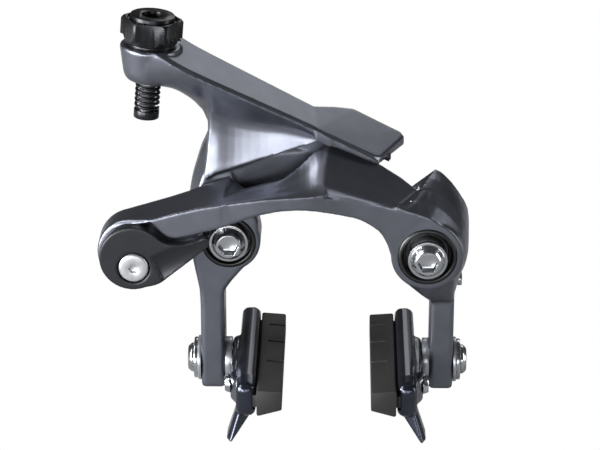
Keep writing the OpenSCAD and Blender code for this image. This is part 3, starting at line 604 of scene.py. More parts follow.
@dataclass(frozen=True)
class FrontArm:
    """The arm that arches over the tyre: lobe, band, tower, shoulder and right limb."""

    lobe: Corner = (-54.1, 1.1)
    lobe_radius: float = 10.2
    lobe_front: float = -27.7
    lobe_back: float = -18.7
    pivot: Corner = (28.0, 0.0)
    hub_radius: float = 10.2
    front: float = -26.7
    back: float = -4.0
    bush_bore: float = 5.56
    cover_bore: float = 8.36
    cover_depth: float = 3.6
    lobe_bore: float = 7.06
    roller_pin: Corner = (9.42, 23.32)
    screw: Corner = (-8.0, -14.6)
    voxel: float = 0.34

    def tongue(self, clay: Clay) -> None:
        """Adds the left end of the band with its raised tongue."""
        rows = []
        for under, crease, top in (
                ((-49.2, 11.2), (-49.9, 11.7), (-50.2, 12.7)), ((-47.8, 9.9), (-47.9, 12.2), (-48.2, 13.4)),
                ((-45.6, 7.5), (-45.0, 13.0), (-45.2, 14.4)), ((-43.1, 6.3), (-42.0, 13.9), (-42.0, 15.5)),
                ((-39.5, 6.7), (-38.5, 14.7), (-38.3, 16.8)), ((-35.3, 7.9), (-35.2, 15.5), (-34.6, 18.3)),
                ((-31.5, 9.0), (-31.6, 16.1), (-30.2, 19.7))):
            rows.append([(under[0], -30.0, under[1]), (crease[0], -30.0, crease[1]),
                         ((crease[0] * 2 + top[0]) / 3, -26.6, (crease[1] * 2 + top[1]) / 3 + 0.1),
                         ((crease[0] + top[0] * 2) / 3, -23.0, (crease[1] + top[1] * 2) / 3 + 0.1),
                         (top[0], -19.4, top[1])])
        rows.append([(-29.5, -30.0, 9.6), (-29.6, -30.0, 16.4), (-29.0, -27.0, 17.6), (-27.8, -22.9, 19.4),
                     (-26.6, -19.5, 20.8)])
        clay.relief(smooth_sheet(rows, 2), lambda p: (p[0], -18.8, p[2]))
        clay.hull([(-30.0, -29.5, 15.9), (-29.2, -26.8, 16.9), (-27.6, -22.9, 18.3), (-26.8, -19.6, 19.4),
                   (-25.0, -29.4, 16.5), (-23.6, -26.0, 17.5), (-22.6, -22.6, 17.7), (-22.0, -19.5, 16.2),
                   (-30.0, -19.4, 12.0), (-22.0, -19.4, 12.0), (-26.0, -29.0, 12.0)], 0.4)

    def face(self, clay: Clay) -> None:
        """Adds the front face of the band from the tongue to the hub."""
        rows = [[(u[0], y, u[1]), (c[0], y + 0.05, c[1])] for u, c, y in (
            ((-31.1, 9.1), (-31.0, 16.2), -30.0), ((-27.0, 10.3), (-27.0, 16.9), -29.9),
            ((-22.8, 11.9), (-22.8, 17.5), -29.9), ((-18.6, 13.3), (-18.6, 18.0), -29.8),
            ((-13.1, 14.3), (-13.1, 18.3), -29.5), ((-7.6, 14.5), (-7.6, 18.5), -29.1),
            ((-2.1, 13.8), (-2.1, 18.3), -28.4), ((3.5, 12.5), (3.5, 17.3), -27.5),
            ((7.6, 11.5), (8.0, 16.4), -27.1), ((10.4, 10.3), (12.0, 15.7), -27.0),
            ((13.2, 8.5), (16.0, 14.9), -26.9), ((15.2, 6.4), (20.0, 14.0), -26.8),
            ((16.9, 3.0), (24.3, 12.8), -26.75), ((17.8, 0.0), (28.5, 11.5), -26.7),
            ((19.2, -3.3), (31.0, 9.6), -26.7), ((21.2, -5.8), (33.3, 7.6), -26.7))]
        clay.relief(smooth_sheet(rows, 2), lambda p: (p[0], -18.7, p[2]))

    def flare(self, clay: Clay) -> None:
        """Adds the leaning top of the band, which sweeps up to the ridge of the tower."""
        rows = [
            [(-34.0, -29.6, 15.2), (-34.0, -28.8, 15.5), (-34.0, -28.0, 15.8), (-34.0, -26.8, 16.0),
             (-34.0, -19.2, 14.6)],
            [(-31.0, -30.0, 16.2), (-30.6, -29.0, 16.6), (-30.2, -28.0, 17.0), (-29.9, -27.0, 17.3),
             (-29.9, -19.2, 15.0)],
            [(-27.0, -29.9, 16.9), (-27.0, -28.5, 17.3), (-27.0, -27.1, 17.8), (-27.0, -25.8, 18.2),
             (-27.0, -19.2, 15.6)],
            [(-22.8, -29.9, 17.5), (-22.8, -28.0, 18.0), (-22.8, -26.1, 18.6), (-22.8, -24.3, 19.3),
             (-22.8, -19.2, 16.8)],
            [(-17.5, -29.7, 18.1), (-17.5, -27.6, 18.8), (-17.5, -25.5, 19.6), (-17.4, -23.4, 20.6),
             (-17.4, -19.2, 18.4)],
            [(-12.5, -29.4, 18.4), (-12.5, -27.4, 19.2), (-12.4, -25.4, 20.4), (-12.4, -23.4, 21.9),
             (-12.4, -19.0, 19.8)],
            [(-7.7, -29.1, 18.5), (-7.7, -26.6, 20.0), (-7.7, -23.4, 22.3), (-7.7, -20.2, 24.8), (-7.6, -18.6, 23.4)],
            [(-5.0, -28.8, 18.5), (-5.0, -26.2, 20.7), (-5.0, -22.4, 23.7), (-5.0, -18.5, 27.2), (-4.8, -17.4, 25.4)],
            [(-2.8, -28.5, 18.5), (-2.8, -26.2, 21.4), (-2.7, -21.7, 25.4), (-2.6, -17.2, 28.9), (-2.4, -16.2, 27.0)],
            [(-0.6, -28.1, 18.6), (-0.7, -26.8, 21.4), (-0.5, -21.2, 26.4), (-0.3, -16.3, 29.6), (0.2, -15.0, 28.0)],
        ]
        clay.relief(smooth_sheet(rows, 2), lambda p: (p[0], p[1] + 0.3, p[2] - 3.4))
        clay.hull([(-12.0, -27.0, 16.0), (-12.0, -19.8, 17.0), (-1.0, -26.6, 16.5), (-1.0, -18.4, 25.0),
                   (-4.0, -19.4, 22.0), (-1.0, -19.4, 15.0), (-12.0, -19.8, 14.8), (3.0, -15.2, 26.4)], 0.4)

    def tower(self, clay: Clay) -> None:
        """Adds the flat dark facet to the right of the ridge, with the body behind it."""
        clay.hull([(-0.1, -16.6, 29.3), (-0.3, -21.0, 26.2), (-0.4, -26.6, 20.8), (-0.3, -27.2, 18.9),
                   (6.2, -26.6, 16.9), (12.0, -26.3, 15.8), (18.7, -26.0, 14.6), (24.6, -19.9, 17.2),
                   (20.1, -18.2, 20.3), (14.5, -16.9, 23.5), (3.5, -15.2, 26.9), (3.5, -9.5, 16.0),
                   (16.0, -9.5, 9.0), (22.3, -12.0, 14.0), (-0.4, -19.4, 15.2), (3.5, -13.4, 26.0),
                   (13.0, -13.4, 21.8)], 0.4)

    def shoulder(self, clay: Clay) -> None:
        """Adds the hub and the shoulder whose left edge sweeps up to a horn."""
        rows = [
            [(18.7, -26.7, 15.2), (22.9, -24.4, 16.1), (25.7, -20.0, 17.9), (27.8, -14.5, 18.7), (30.2, -8.0, 19.3)],
            [(21.5, -26.7, 13.9), (25.2, -23.4, 15.4), (28.0, -18.8, 17.3), (30.0, -13.4, 18.2), (32.0, -7.0, 18.2)],
            [(28.5, -26.7, 11.5), (30.4, -22.5, 13.6), (32.0, -17.8, 15.0), (33.6, -12.5, 15.7), (34.9, -7.0, 15.3)],
            [(33.3, -26.7, 7.6), (35.0, -22.3, 9.6), (36.3, -17.6, 10.7), (37.3, -12.4, 11.2), (37.9, -7.0, 11.0)],
            [(36.1, -26.7, 3.7), (37.8, -22.1, 5.3), (38.9, -17.4, 6.2), (39.6, -12.2, 6.6), (40.0, -7.0, 6.8)],
            [(37.6, -26.7, -1.2), (39.1, -22.0, -0.5), (39.9, -17.3, 0.0), (40.2, -12.1, 0.3), (40.4, -7.0, 0.8)],
            [(37.1, -26.5, -4.6), (38.6, -21.6, -5.0), (39.4, -17.0, -5.0), (39.9, -12.0, -4.8), (40.0, -7.0, -4.4)],
            [(35.6, -25.2, -7.6), (36.9, -20.4, -9.6), (37.7, -16.2, -10.4), (38.2, -11.6, -10.6),
             (38.4, -7.0, -10.6)],
            [(35.4, -20.0, -13.6), (35.9, -17.6, -15.8), (36.2, -14.6, -17.4), (36.4, -11.0, -18.4),
             (36.4, -7.0, -18.6)],
        ]

        def inward(p: Point) -> Point:
            """Point 6 mm nearer to the hub's axis."""
            aim = Vector((self.pivot[0] + 1.5, 0.0, -1.0)) - Vector((p[0], 0.0, p[2]))
            step = aim.normalized() * 6.0
            return (p[0] + step.x, p[1] + 0.6, p[2] + step.z)

        clay.relief(smooth_sheet(rows, 2), inward)
        core = [(p[0] + (28.0 - p[0]) * 0.3, y, p[2] * 0.7) for row in rows[2:-1] for p, y in
                ((row[1], -22.6), (row[4], -5.0))]
        clay.hull(core + [(30.6, -15.6, -17.0), (35.2, -15.6, -17.0), (30.6, -5.6, -17.0), (35.2, -5.6, -17.0),
                          (24.0, -6.0, 9.0), (29.0, -5.4, 15.4), (34.0, -5.2, 12.2), (37.6, -5.2, 6.0),
                          (38.6, -5.2, 0.0), (37.6, -5.2, -7.0), (21.0, -6.0, 2.0)], 0.9)
        clay.hull([(18.7, -25.7, 14.2), (22.9, -23.4, 15.1), (25.7, -19.1, 16.9), (27.8, -13.7, 17.7),
                   (30.2, -7.6, 18.2), (22.2, -18.4, 16.4), (24.0, -12.0, 13.0), (22.3, -9.5, 10.0),
                   (31.0, -7.0, 12.0), (20.0, -24.0, 12.0), (26.0, -24.0, 11.0)], 0.45)
        clay.hull([(18.0, -25.4, 14.0), (21.6, -22.8, 15.0), (24.6, -19.7, 16.2), (20.0, -19.0, 15.0),
                   (24.0, -17.0, 13.0), (18.5, -24.0, 11.0), (26.0, -22.0, 12.0)], 0.4)
        clay.rod(self.hub_radius, self.pivot, self.front, self.back, 0.6)

    def limb(self, clay: Clay) -> None:
        """Adds the limb that carries the right brake shoe, and its taper."""
        clay.hull([(px, py, pz) for px in (30.5, 35.3) for py in (-15.9, -5.7) for pz in (-10.0, -44.9)], 1.1)
        fore = self.front + 0.9
        clay.hull([(20.3, fore + 0.2, -4.4), (23.6, fore + 0.4, -8.6), (27.6, -21.4, -13.6), (30.4, -16.0, -17.9),
                   (35.3, -16.0, -17.9), (30.4, -5.6, -17.9), (35.3, -5.6, -17.9), (22.0, -5.6, -6.0),
                   (27.5, fore, 0.0), (34.0, -24.6, -7.0), (34.6, -19.6, -13.6)], 0.9)

    def lobe_end(self, clay: Clay) -> None:
        """Adds the left lobe, the web that joins it to the band and the skin round its top."""
        clay.rod(self.lobe_radius, self.lobe, self.lobe_front, self.lobe_back, 0.7)
        fore, rear = self.lobe_front + 0.6, self.lobe_back - 0.6
        clay.hull([(px, py, pz) for px, pz in ((-57.0, 8.6), (-50.0, 11.0), (-41.5, 12.8), (-35.2, 11.2),
                                               (-35.6, 8.0), (-39.2, 2.2), (-47.0, -4.6), (-52.0, -7.2))
                   for py in (fore, rear)], 0.6)
        rim = self.lobe_radius - 0.5
        top = [(self.lobe[0] + rim * math.cos(math.radians(a)), y, self.lobe[1] + rim * math.sin(math.radians(a)))
               for a in range(70, 131, 10) for y in (fore, rear)]
        clay.hull(top + [(-49.6, -29.3, 11.2), (-47.6, -29.4, 11.6), (-47.6, rear, 13.1), (-44.4, rear, 14.2),
                         (-46.0, -26.0, 12.4)], 0.5)

    def cheeks(self, clay: Clay) -> None:
        """Adds the two cheeks for the roller pin."""
        clay.rod(2.8, self.roller_pin, -16.7, -6.3, 0.3)
        clay.hull([(px, py, pz) for px, pz in ((7.4, 23.0), (11.4, 23.0), (13.8, 10.6), (5.0, 13.6))
                   for py in (-16.0, -7.0)], 0.6)
        clay.hull([(px, py, pz) for px, pz in ((2.2, 27.0), (4.6, 26.2), (9.4, 25.3), (13.8, 10.6), (2.6, 13.4))
                   for py in (-7.3, -6.7)], 0.4)

    def build(self) -> None:
        """Builds the arm and dresses it."""
        clay = Clay()
        self.lobe_end(clay)
        self.tongue(clay)
        self.face(clay)
        self.flare(clay)
        self.tower(clay)
        self.shoulder(clay)
        self.limb(clay)
        self.cheeks(clay)
        piece = clay.cast("front_arm_casting", self.voxel, CAST_PASSES)
        roller_slot = block((-2.6, -14.9, 23.3), (21.4, -8.1, 40.0))
        cut(piece, [drill_y(self.bush_bore, self.pivot, -40.0, 10.0),
                    drill_y(self.cover_bore, self.pivot, -40.0, self.front + self.cover_depth),
                    drill_y(self.lobe_bore, self.lobe, -40.0, 10.0), drill_y(4.0, self.roller_pin, -14.5, -8.5),
                    roller_slot, drill_x(3.2, SHOE_BOLT, 20.0, 50.0), drill_x(2.3, self.screw, 37.0, 50.0)])
        shade(piece)
        dress(piece, ARM_PAINT, "front_arm_body", ["front_arm"])


@dataclass(frozen=True)
class RearArm:
    """The arm behind: barrel boss, beam with its paddle, web, hub and left limb."""

    pivot: Corner = (-28.0, 0.0)
    hub_radius: float = 9.0
    front: float = -17.0
    back: float = -4.0
    bush_bore: float = 5.56
    cover_bore: float = 7.76
    cover_depth: float = 3.6
    boss_height: float = 48.0
    boss_length: float = 10.4
    voxel: float = 0.34

    def body(self, clay: Clay) -> None:
        """Adds neck, hub and limb as one run of sections."""
        fore, rear = self.front + 0.9, self.back - 0.9
        # height, left end in front, left end behind, right end, how far the front stands back
        rows = ((40.0, -31.0, -31.4, -30.4, 3.2), (35.0, -31.2, -31.8, -30.4, 2.4),
                (30.0, -31.9, -32.9, -29.8, 1.4), (25.0, -33.0, -35.1, -29.0, 0.8),
                (19.5, -34.6, -36.8, -27.0, 0.0), (14.0, -36.4, -38.2, -24.0, 0.0),
                (6.0, -38.2, -38.4, -20.5, 0.0), (-2.6, -37.8, -38.0, -21.0, 0.0),
                (-8.6, -36.9, -37.1, -25.4, 0.0), (-14.8, -35.7, -35.9, -30.1, 0.0),
                (-20.0, -35.5, -35.5, -30.3, 0.0))
        clay.chain([[(left, fore + inset, z), (right, fore + inset, z), (right, rear, z), (side, rear, z),
                     (side, -11.5, z)] for z, left, side, right, inset in rows], radius=0.9, steps=2)
        clay.hull([(px, py, pz) for px in (-35.3, -30.5) for py in (fore + 0.2, self.back - 1.7)
                   for pz in (-14.0, -44.9)], 1.1)
        clay.rod(self.hub_radius, self.pivot, self.front, self.back, 0.7)

    def scoop(self, clay: Clay) -> None:
        """Adds the front of beam and web as one hollowed sheet down to the overhanging lip."""
        rows = [
            [(-49.6, -23.8, 58.1), (-49.7, -23.5, 54.6), (-49.8, -22.7, 51.0), (-49.9, -20.7, 48.7),
             (-50.0, -17.8, 47.7), (-50.1, -15.0, 47.4)],
            [(-45.0, -24.1, 56.9), (-45.2, -23.8, 53.8), (-45.6, -22.7, 50.2), (-46.0, -20.4, 48.0),
             (-46.3, -17.6, 46.9), (-46.5, -15.0, 46.5)],
            [(-41.0, -24.1, 54.0), (-41.2, -23.6, 51.4), (-41.7, -22.0, 48.6), (-42.2, -19.8, 46.9),
             (-42.7, -17.2, 46.0), (-43.0, -14.0, 45.3)],
            [(-37.0, -23.6, 51.5), (-37.2, -22.7, 49.0), (-37.7, -20.9, 46.2), (-38.2, -18.7, 44.4),
             (-38.7, -16.2, 43.3), (-39.0, -12.4, 42.2)],
            [(-34.4, -23.3, 50.1), (-34.4, -21.4, 47.2), (-34.2, -19.0, 43.8), (-33.8, -16.8, 41.4),
             (-33.6, -15.0, 38.6), (-33.6, -13.4, 35.0)],
            [(-32.4, -23.1, 49.0), (-32.4, -20.8, 45.6), (-32.3, -18.0, 41.2), (-32.5, -16.4, 37.6),
             (-33.2, -16.4, 30.0), (-34.6, -17.0, 20.4)],
            [(-30.0, -22.8, 47.8), (-30.0, -20.2, 44.3), (-29.9, -17.2, 39.5), (-30.1, -16.2, 35.7),
             (-30.6, -17.0, 28.9), (-31.4, -17.9, 21.1)],
            [(-26.0, -22.3, 45.9), (-26.0, -19.4, 42.2), (-26.0, -16.6, 37.6), (-26.0, -15.9, 34.2),
             (-26.2, -16.8, 28.4), (-26.4, -17.9, 22.6)],
            [(-19.0, -21.5, 42.2), (-19.0, -18.9, 39.4), (-19.0, -16.8, 36.0), (-19.0, -16.3, 33.2),
             (-19.0, -17.1, 29.0), (-19.0, -18.0, 25.2)],
            [(-12.0, -20.7, 38.6), (-12.0, -18.8, 37.2), (-12.0, -17.5, 35.0), (-12.0, -17.1, 33.0),
             (-12.0, -17.6, 30.2), (-12.0, -18.2, 27.7)],
            [(-5.0, -20.0, 35.2), (-5.0, -19.1, 34.7), (-5.0, -18.4, 33.4), (-5.0, -18.1, 32.2),
             (-5.0, -18.2, 31.2), (-5.0, -18.5, 30.1)],
            [(-1.4, -19.7, 34.0), (-1.4, -19.3, 33.5), (-1.4, -18.9, 33.0), (-1.4, -18.6, 32.4),
             (-1.4, -18.5, 32.0), (-1.6, -18.5, 31.4)],
        ]
        clay.relief(smooth_sheet(rows, 3, 2), lambda p: (p[0], -8.2, p[2]))
        clay.hull([(px, py, pz) for px, pz in ((-33.0, 37.0), (-24.6, 11.0), (-20.4, 10.6), (-12.0, 18.2),
                                               (-3.2, 25.6), (-0.2, 28.0), (-0.2, 31.6), (-4.0, 33.0))
                   for py in (-12.3, -7.9)], 0.9)
        clay.hull([(px, py, pz) for px, pz in ((-31.5, 40.3), (-20.6, 40.3), (-20.6, 10.0), (-24.0, 8.0),
                                               (-31.0, 8.0)) for py in (-8.6, self.back - 0.9)], 0.9)
        clay.hull([(-32.0, -16.0, 26.0), (-30.0, -15.9, 17.0), (-23.0, -15.9, 11.0), (-19.0, -15.0, 10.0),
                   (-10.0, -12.8, 19.0), (-4.0, -12.6, 26.0), (-12.0, -13.2, 27.0), (-24.0, -15.4, 25.0),
                   (-32.0, -8.0, 26.0), (-10.0, -8.0, 19.0), (-20.0, -8.0, 10.0)], 0.6)

    def beam(self, clay: Clay) -> None:
        """Adds the top of the beam."""
        front_edge = ((-49.0, -23.7), (-45.0, -24.2), (-41.0, -24.1), (-37.0, -23.6), (-32.0, -23.0),
                      (-26.0, -22.3), (-19.0, -21.5), (-12.0, -20.7), (-5.0, -20.0), (-2.0, -19.7))
        rows = [[(x, at, beam_top(x, at) + max(0.0, -3.6 - x / 10) - drop)
                 for at, drop in ((y + 0.05, 0.75), (y + 0.9, 0.05), (-8.6, 0.1), (-8.2, 0.4))]
                for x, y in front_edge]
        clay.relief(rows, lambda p: (p[0], min(p[1] + 1.2, -8.3), p[2] - 1.9))

    def paddle(self, clay: Clay) -> None:
        """Adds the thin paddle at the beam's right end, its front lip and the seat of the contact plate."""
        # its outline, with how far the balls' centres lie below the top face
        edge = ((-3.2, -19.3, 0.6), (12.9, -18.1, 0.6), (14.4, -17.2, 0.6), (21.1, -2.4, 0.6), (20.2, -1.4, 0.6),
                (7.0, -1.6, 0.7), (1.4, -5.0, 0.9), (-4.2, -8.7, 1.4))
        clay.hull([(x, y, paddle_top(x, y) - first - more) for x, y, first in edge
                   for more in (0.0, 2.0 if x > 15 else 1.1)], 0.5)
        clay.hull([(x, y, paddle_top(x, y) - drop) for x, y, low in ((-3.4, -19.5, 2.8), (0.8, -19.3, 2.5),
                                                                     (12.8, -18.6, 1.8), (14.1, -18.2, 1.8))
                   for drop in (1.0, low)], 0.4)
        clay.hull([(x, y, paddle_top(x, y) - drop) for x, y in ((-3.4, -19.5), (0.9, -19.4))
                   for drop in (1.0, 3.0)], 0.4)
        clay.hull([(8.9, -14.4, 28.6), (8.9, -8.6, 28.8), (17.4, -14.4, 24.4), (17.4, -8.6, 24.9),
                   (10.0, -8.6, 30.2), (17.4, -8.6, 25.6)], 0.35)

    def boss(self, clay: Clay) -> None:
        """Adds the boss of the barrel adjuster, which tapers to a round foot."""
        clay.turned([(0, 0), (4.6, 0), (6.0, 0.5), (6.8, 1.5), (7.2, 2.8), (8.5, 9.8), (8.3, 10.3),
                     (7.9, self.boss_length), (0, self.boss_length)], on_cable_line(self.boss_height))

    def build(self) -> None:
        """Builds the arm and dresses it."""
        clay = Clay()
        self.body(clay)
        self.scoop(clay)
        self.beam(clay)
        self.paddle(clay)
        self.boss(clay)
        piece = clay.cast("rear_arm_casting", self.voxel, CAST_PASSES)
        top = on_cable_line(self.boss_height + self.boss_length)
        clear = turned_mesh([(0, 0), (9.4, 0), (9.4, 14), (0, 14)], top)
        bore = turned_mesh([(0, 0), (2.3, 0), (2.3, 60), (0, 60)], on_cable_line(28.0))
        cut(piece, [clear, bore, drill_y(self.bush_bore, self.pivot, -40.0, 10.0),
                    drill_y(self.cover_bore, self.pivot, -40.0, self.front + self.cover_depth),
                    drill_x(3.2, SHOE_BOLT, -50.0, -20.0)])
        shade(piece)
        dress(piece, ARM_PAINT, "rear_arm_body", ["rear_arm"])


@dataclass(frozen=True)
class SmallParts:
    """Solids whose shape is right: they get softer edges and their finish."""

    rows: tuple[tuple[str, float, Finish], ...] = (
        ("back_plate", 0.3, PLATE_PAINT),
        ("left_pivot_sleeve", 0.1, DULL_STEEL),
        ("right_pivot_sleeve", 0.1, DULL_STEEL),
        ("left_mount_bolt", 0.16, BRIGHT_STEEL),
        ("right_mount_bolt", 0.16, BRIGHT_STEEL),
        ("bolt_washers", 0.15, DULL_STEEL),
        ("thrust_washers", 0.15, BLACK_NYLON),
        ("right_bush", 0.08, BLACK_NYLON),
        ("left_bush", 0.08, BLACK_NYLON),
        ("right_cover", 0.22, BLACK_NYLON),
        ("left_cover", 0.22, BLACK_NYLON),
        ("contact_roller", 0.25, BLACK_STEEL),
        ("roller_pin", 0.15, DULL_STEEL),
        ("centering_screw", 0.15, BRIGHT_STEEL),
        ("right_spring_seat", 0.3, BLACK_NYLON),
        ("left_spring_seat", 0.3, BLACK_NYLON),
        ("hook_pin", 0.15, BRIGHT_STEEL),
        ("contact_plate", 0.12, BLACK_STEEL),
        ("anchor_bolt", 0.12, BRUSHED_NICKEL),
        ("clamp_washer", 0.15, DULL_STEEL),
        ("anchor_nut", 0.2, DULL_STEEL),
        ("barrel_nut", 0.22, BLACK_STEEL),
        ("barrel_stem", 0.1, DULL_STEEL),
        ("barrel_collar", 0.2, BLACK_STEEL),
        ("detent_washer", 0.1, BLACK_STEEL),
    )

    def build(self) -> None:
        """Softens, shades and dresses each part."""
        record = frame["record"]
        bodies = {node: body for body, nodes in record["behaviour"]["bodies"].items() for node in nodes}
        for node, edge, finish in self.rows:
            piece = softened_copy(node, node + "_dressed", edge)
            dress(piece, finish, bodies[node], [node])
        lever = melted_copy("quick_release_lever", "quick_release_lever_forged", 0.22, 14)
        dress(lever, LEVER_PAINT, "quick_release_body", ["quick_release_lever"])


@dataclass(frozen=True)
class BrakeShoe:
    """One brake shoe with its holder, pad, screws and washers."""

    side: str

    def build(self) -> None:
        """Dresses each part of the shoe."""
        parts = (("pad", 0.35, PAD_RUBBER, "pad_rubber"),
                 ("pad_screw", 0.2, BRIGHT_STEEL, "bright_steel"), ("shoe_bolt", 0.25, BRIGHT_STEEL, "bright_steel"),
                 ("flat_washer", 0.15, DULL_STEEL, "zinc_steel"),
                 ("dished_washer", 0.3, BRIGHT_STEEL, "bright_steel"),
                 ("inner_washer", 0.25, DULL_STEEL, "zinc_steel"))
        body = "rear_arm_body" if self.side == "left" else "front_arm_body"
        for part, edge, finish, slot in parts:
            node = f"{self.side}_{part}"
            dress(softened_copy(node, node + "_dressed", edge), finish, body, [node])
        self.holder(body)

    def holder(self, body: str) -> None:
        """Builds the holder with its closed nose and the ridged fin below.

        Args:
            body: the body that it moves with.
        """
        out = -1 if self.side == "left" else 1
        node = f"{self.side}_shoe_holder"
        clay = Clay()
        clay.hull([(out * x, y, z) for x in (22.1, 23.4) for y, top, foot in
                   ((-37.1, -36.4, -42.2), (-33.0, -35.8, -42.6), (12.3, -35.8, -42.6)) for z in (top, foot)], 2.25)
        clay.hull([(out * x, y, z) for x, y, top, foot in
                   ((24.0, -33.5, -37.0, -42.4), (26.2, -27.6, -36.4, -43.2), (26.2, -5.5, -36.0, -43.2),
                    (24.0, -3.0, -36.4, -42.6)) for z in (top, foot)], 1.35)
        clay.hull([(out * 20.5, -34.9, -42.6), (out * 24.2, -36.4, -42.8), (out * 27.0, -38.9, -51.8),
                   (out * 20.5, -32.0, -43.4), (out * 25.0, -32.0, -43.6), (out * 27.0, -32.0, -51.8)], 0.35)
        clay.hull([(out * 24.2, -36.4, -42.8), (out * 25.4, -35.2, -43.6), (out * 27.9, -37.4, -51.5),
                   (out * 27.0, -38.9, -51.8), (out * 25.4, -32.0, -43.6), (out * 27.9, -32.0, -51.5)], 0.35)
        piece = clay.cast(node + "_forged", 0.24, 5)
        shade(piece)
        dress(piece, SHOE_LACQUER, body, [node])


@dataclass(frozen=True)
class Springs:
    """The coil under the barrel and the bent return wire behind the arms."""

    coil_radius: float = 3.1
    coil_wire: float = 0.9
    coil_pitch: float = 1.44
    coil_turns: int = 5
    coil_top: float = 47.85
    return_wire: float = 1.5
    return_y: float = -2.95
    route: tuple[Corner, ...] = ((0.0, 13.4), (10.0, 12.8), (20.0, 10.8), (28.0, 8.6), (34.4, 5.6), (36.4, -1.0),
                                 (35.2, -12.0), (33.0, -20.0), (33.0, -22.5), (33.0, -26.0))

    def coil(self) -> bpy.types.Object:
        """Makes the coil by spinning its round section along a helix.

        Returns:
            The coil as a piece.
        """
        shape = bmesh.new()
        ring = bmesh.ops.create_circle(shape, cap_ends=False, segments=12, radius=self.coil_wire / 2 * MM,
                                       matrix=Matrix.Translation((self.coil_radius * MM, 0, -self.coil_wire / 2 * MM))
                                       @ Matrix.Rotation(math.pi / 2, 4, "X"))
        steps = 40 * self.coil_turns
        edges = list({e for v in ring["verts"] for e in v.link_edges})
        bmesh.ops.spin(shape, geom=ring["verts"] + edges, cent=(0, 0, 0), axis=(0, 0, 1),
                       dvec=(0, 0, -self.coil_pitch * self.coil_turns * MM / steps),
                       angle=math.tau * self.coil_turns, steps=steps, use_merge=False)
        ends = [e for e in shape.edges if e.is_boundary]
        bmesh.ops.holes_fill(shape, edges=ends, sides=0)
        bmesh.ops.recalc_face_normals(shape, faces=shape.faces[:])
        bmesh.ops.transform(shape, matrix=on_cable_line(self.coil_top), verts=shape.verts[:])
        return from_bmesh("barrel_coil", shape)

    def return_spring(self) -> bpy.types.Object:
        """Makes the bent wire along its route.

        Returns:
            The wire as a piece.
        """
        half = list(self.route)
        whole = [(-x, z) for x, z in reversed(half[1:])] + half
        path = curve_through(whole, 5)
        line = bpy.data.curves.new("return_wire", "CURVE")
        line.dimensions = "3D"
        line.bevel_depth = self.return_wire / 2 * MM
        line.bevel_resolution = 4
        line.use_fill_caps = True
        run = line.splines.new("POLY")
        run.points.add(len(path) - 1)
        for point, (x, z) in zip(run.points, path):
            point.co = (x * MM, self.return_y * MM, z * MM, 1.0)
        wire = placed("return_wire", line)
        graph = bpy.context.evaluated_depsgraph_get()
        mesh = bpy.data.meshes.new_from_object(wire.evaluated_get(graph))
        bpy.data.objects.remove(wire)
        return placed("return_spring_wire", mesh)

    def build(self) -> None:
        """Builds both springs and dresses them."""
        coil = self.coil()
        shade(coil, 60.0)
        dress(coil, BLACK_STEEL, "rear_arm_body", ["barrel_spring"])
        wire = self.return_spring()
        shade(wire, 60.0)
        dress(wire, SPRING_STEEL, "base", ["return_spring"])


@dataclass(frozen=True)
class SoftBox:
    """One soft box that points at the object: its place and size in metres, and its power in watts."""

    name: str
    spot: Point
    size: Corner
    watts: float


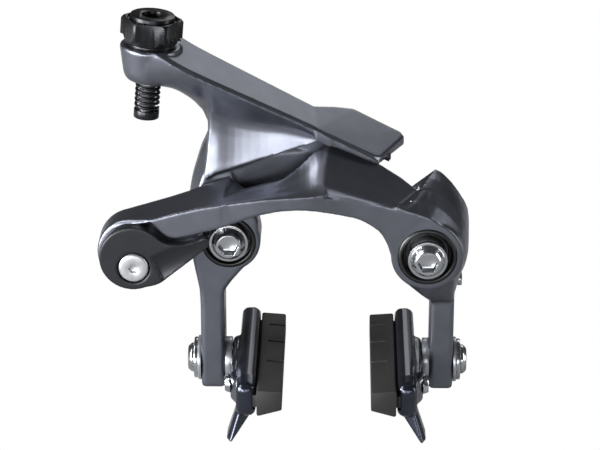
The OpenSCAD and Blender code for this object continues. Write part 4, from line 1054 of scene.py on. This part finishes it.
@dataclass(frozen=True)
class Studio:
    """Camera, plain pale floor and soft light."""

    focal_px: float = 2491.0
    distance: float = 700.0
    elevation: float = 22.5
    azimuth: float = 1.0
    target: Point = (-7.749, -20.0, 6.660)
    floor_z: float = -70.0
    boxes: tuple[SoftBox, ...] = (
        SoftBox("left_softbox", (-0.55, -0.3, 0.1), (0.3, 0.3), 7.5),
        SoftBox("side_softbox", (-0.9, -0.24, 0.36), (0.4, 0.35), 6.0),
        SoftBox("high_softbox", (-0.62, -0.1, 0.75), (0.3, 0.3), 3.5),
        SoftBox("front_softbox", (-0.4, -0.75, 0.04), (0.45, 0.18), 5.2),
        SoftBox("low_softbox", (0.08, -1.0, 0.14), (0.5, 0.14), 1.2),
        SoftBox("right_softbox", (0.9, -0.1, 0.25), (0.25, 0.7), 4.0),
        SoftBox("back_softbox", (0.3, 0.95, 0.6), (0.7, 0.4), 1.6),
    )

    def camera(self) -> None:
        """Places the camera at the photograph's viewing angle."""
        e, a = math.radians(self.elevation), math.radians(self.azimuth)
        look = Vector((-math.sin(a) * math.cos(e), math.cos(a) * math.cos(e), -math.sin(e)))
        right = Vector((math.cos(a), math.sin(a), 0.0))
        up = right.cross(look)
        data = bpy.data.cameras.new("camera")
        data.sensor_width = 36.0
        data.lens = self.focal_px * 36.0 / 600
        data.clip_start = 0.01
        data.clip_end = 20.0
        cam = placed("camera", data)
        spot = (Vector(self.target) - look * self.distance) * MM
        cam.matrix_world = Matrix.Translation(spot) @ Matrix((right, up, -look)).transposed().to_4x4()
        bpy.context.scene.camera = cam

    def floor(self) -> None:
        """Lays the pale floor, which shows white to the camera and keeps the shadow."""
        shape = bmesh.new()
        bmesh.ops.create_grid(shape, x_segments=2, y_segments=2, size=4.0,
                              matrix=Matrix.Translation((0, 0, self.floor_z * MM)))
        piece = from_bmesh("studio_floor", shape)
        made = bpy.data.materials.new("studio_floor_paint")
        made.use_nodes = True
        tree = made.node_tree
        tree.nodes.clear()
        path = add_node(tree, "ShaderNodeLightPath")
        paint = add_node(tree, "ShaderNodeBsdfDiffuse", Color=linear("#a8a8a8"), Roughness=0.5)
        white = add_node(tree, "ShaderNodeEmission", Color=(1.0, 1.0, 1.0, 1.0), Strength=1.0)
        seen = add_node(tree, "ShaderNodeMixShader", Fac=path.outputs["Is Camera Ray"])
        tree.links.new(paint.outputs["BSDF"], seen.inputs[1])
        tree.links.new(white.outputs["Emission"], seen.inputs[2])
        add_node(tree, "ShaderNodeOutputMaterial", Surface=seen.outputs["Shader"])
        piece.data.materials.append(made)

    def world(self) -> None:
        """Sets an even surround, white to the camera and dim on the object."""
        made = bpy.data.worlds.new("studio_world")
        bpy.context.scene.world = made
        made.use_nodes = True
        tree = made.node_tree
        tree.nodes.clear()
        path = add_node(tree, "ShaderNodeLightPath")
        level = add_node(tree, "ShaderNodeMapRange", Value=path.outputs["Is Camera Ray"], To_Min=0.07, To_Max=1.0)
        sky = add_node(tree, "ShaderNodeBackground", Color=(1.0, 1.0, 1.0, 1.0), Strength=level.outputs["Result"])
        add_node(tree, "ShaderNodeOutputWorld", Surface=sky.outputs["Background"])

    def lamp(self, box: SoftBox) -> None:
        """Adds one soft box.

        Args:
            box: the soft box to add.
        """
        data = bpy.data.lights.new(box.name, "AREA")
        data.shape = "RECTANGLE"
        data.size, data.size_y = box.size
        data.energy = box.watts
        lamp = placed(box.name, data)
        aim = Vector(self.target) * MM - Vector(box.spot)
        lamp.matrix_world = Matrix.Translation(box.spot) @ aim.to_track_quat("-Z", "Y").to_matrix().to_4x4()

    def build(self) -> None:
        """Builds the whole studio."""
        self.camera()
        self.floor()
        self.world()
        for box in self.boxes:
            self.lamp(box)
        bpy.context.scene.view_settings.view_transform = "Standard"


def main() -> None:
    """Builds every sub-assembly in order."""
    logging.basicConfig(level=logging.INFO, format="%(message)s")
    Studio().build()
    FrontArm().build()
    RearArm().build()
    SmallParts().build()
    for side in ("left", "right"):
        BrakeShoe(side).build()
    Springs().build()


if __name__ == "__main__":
    main()
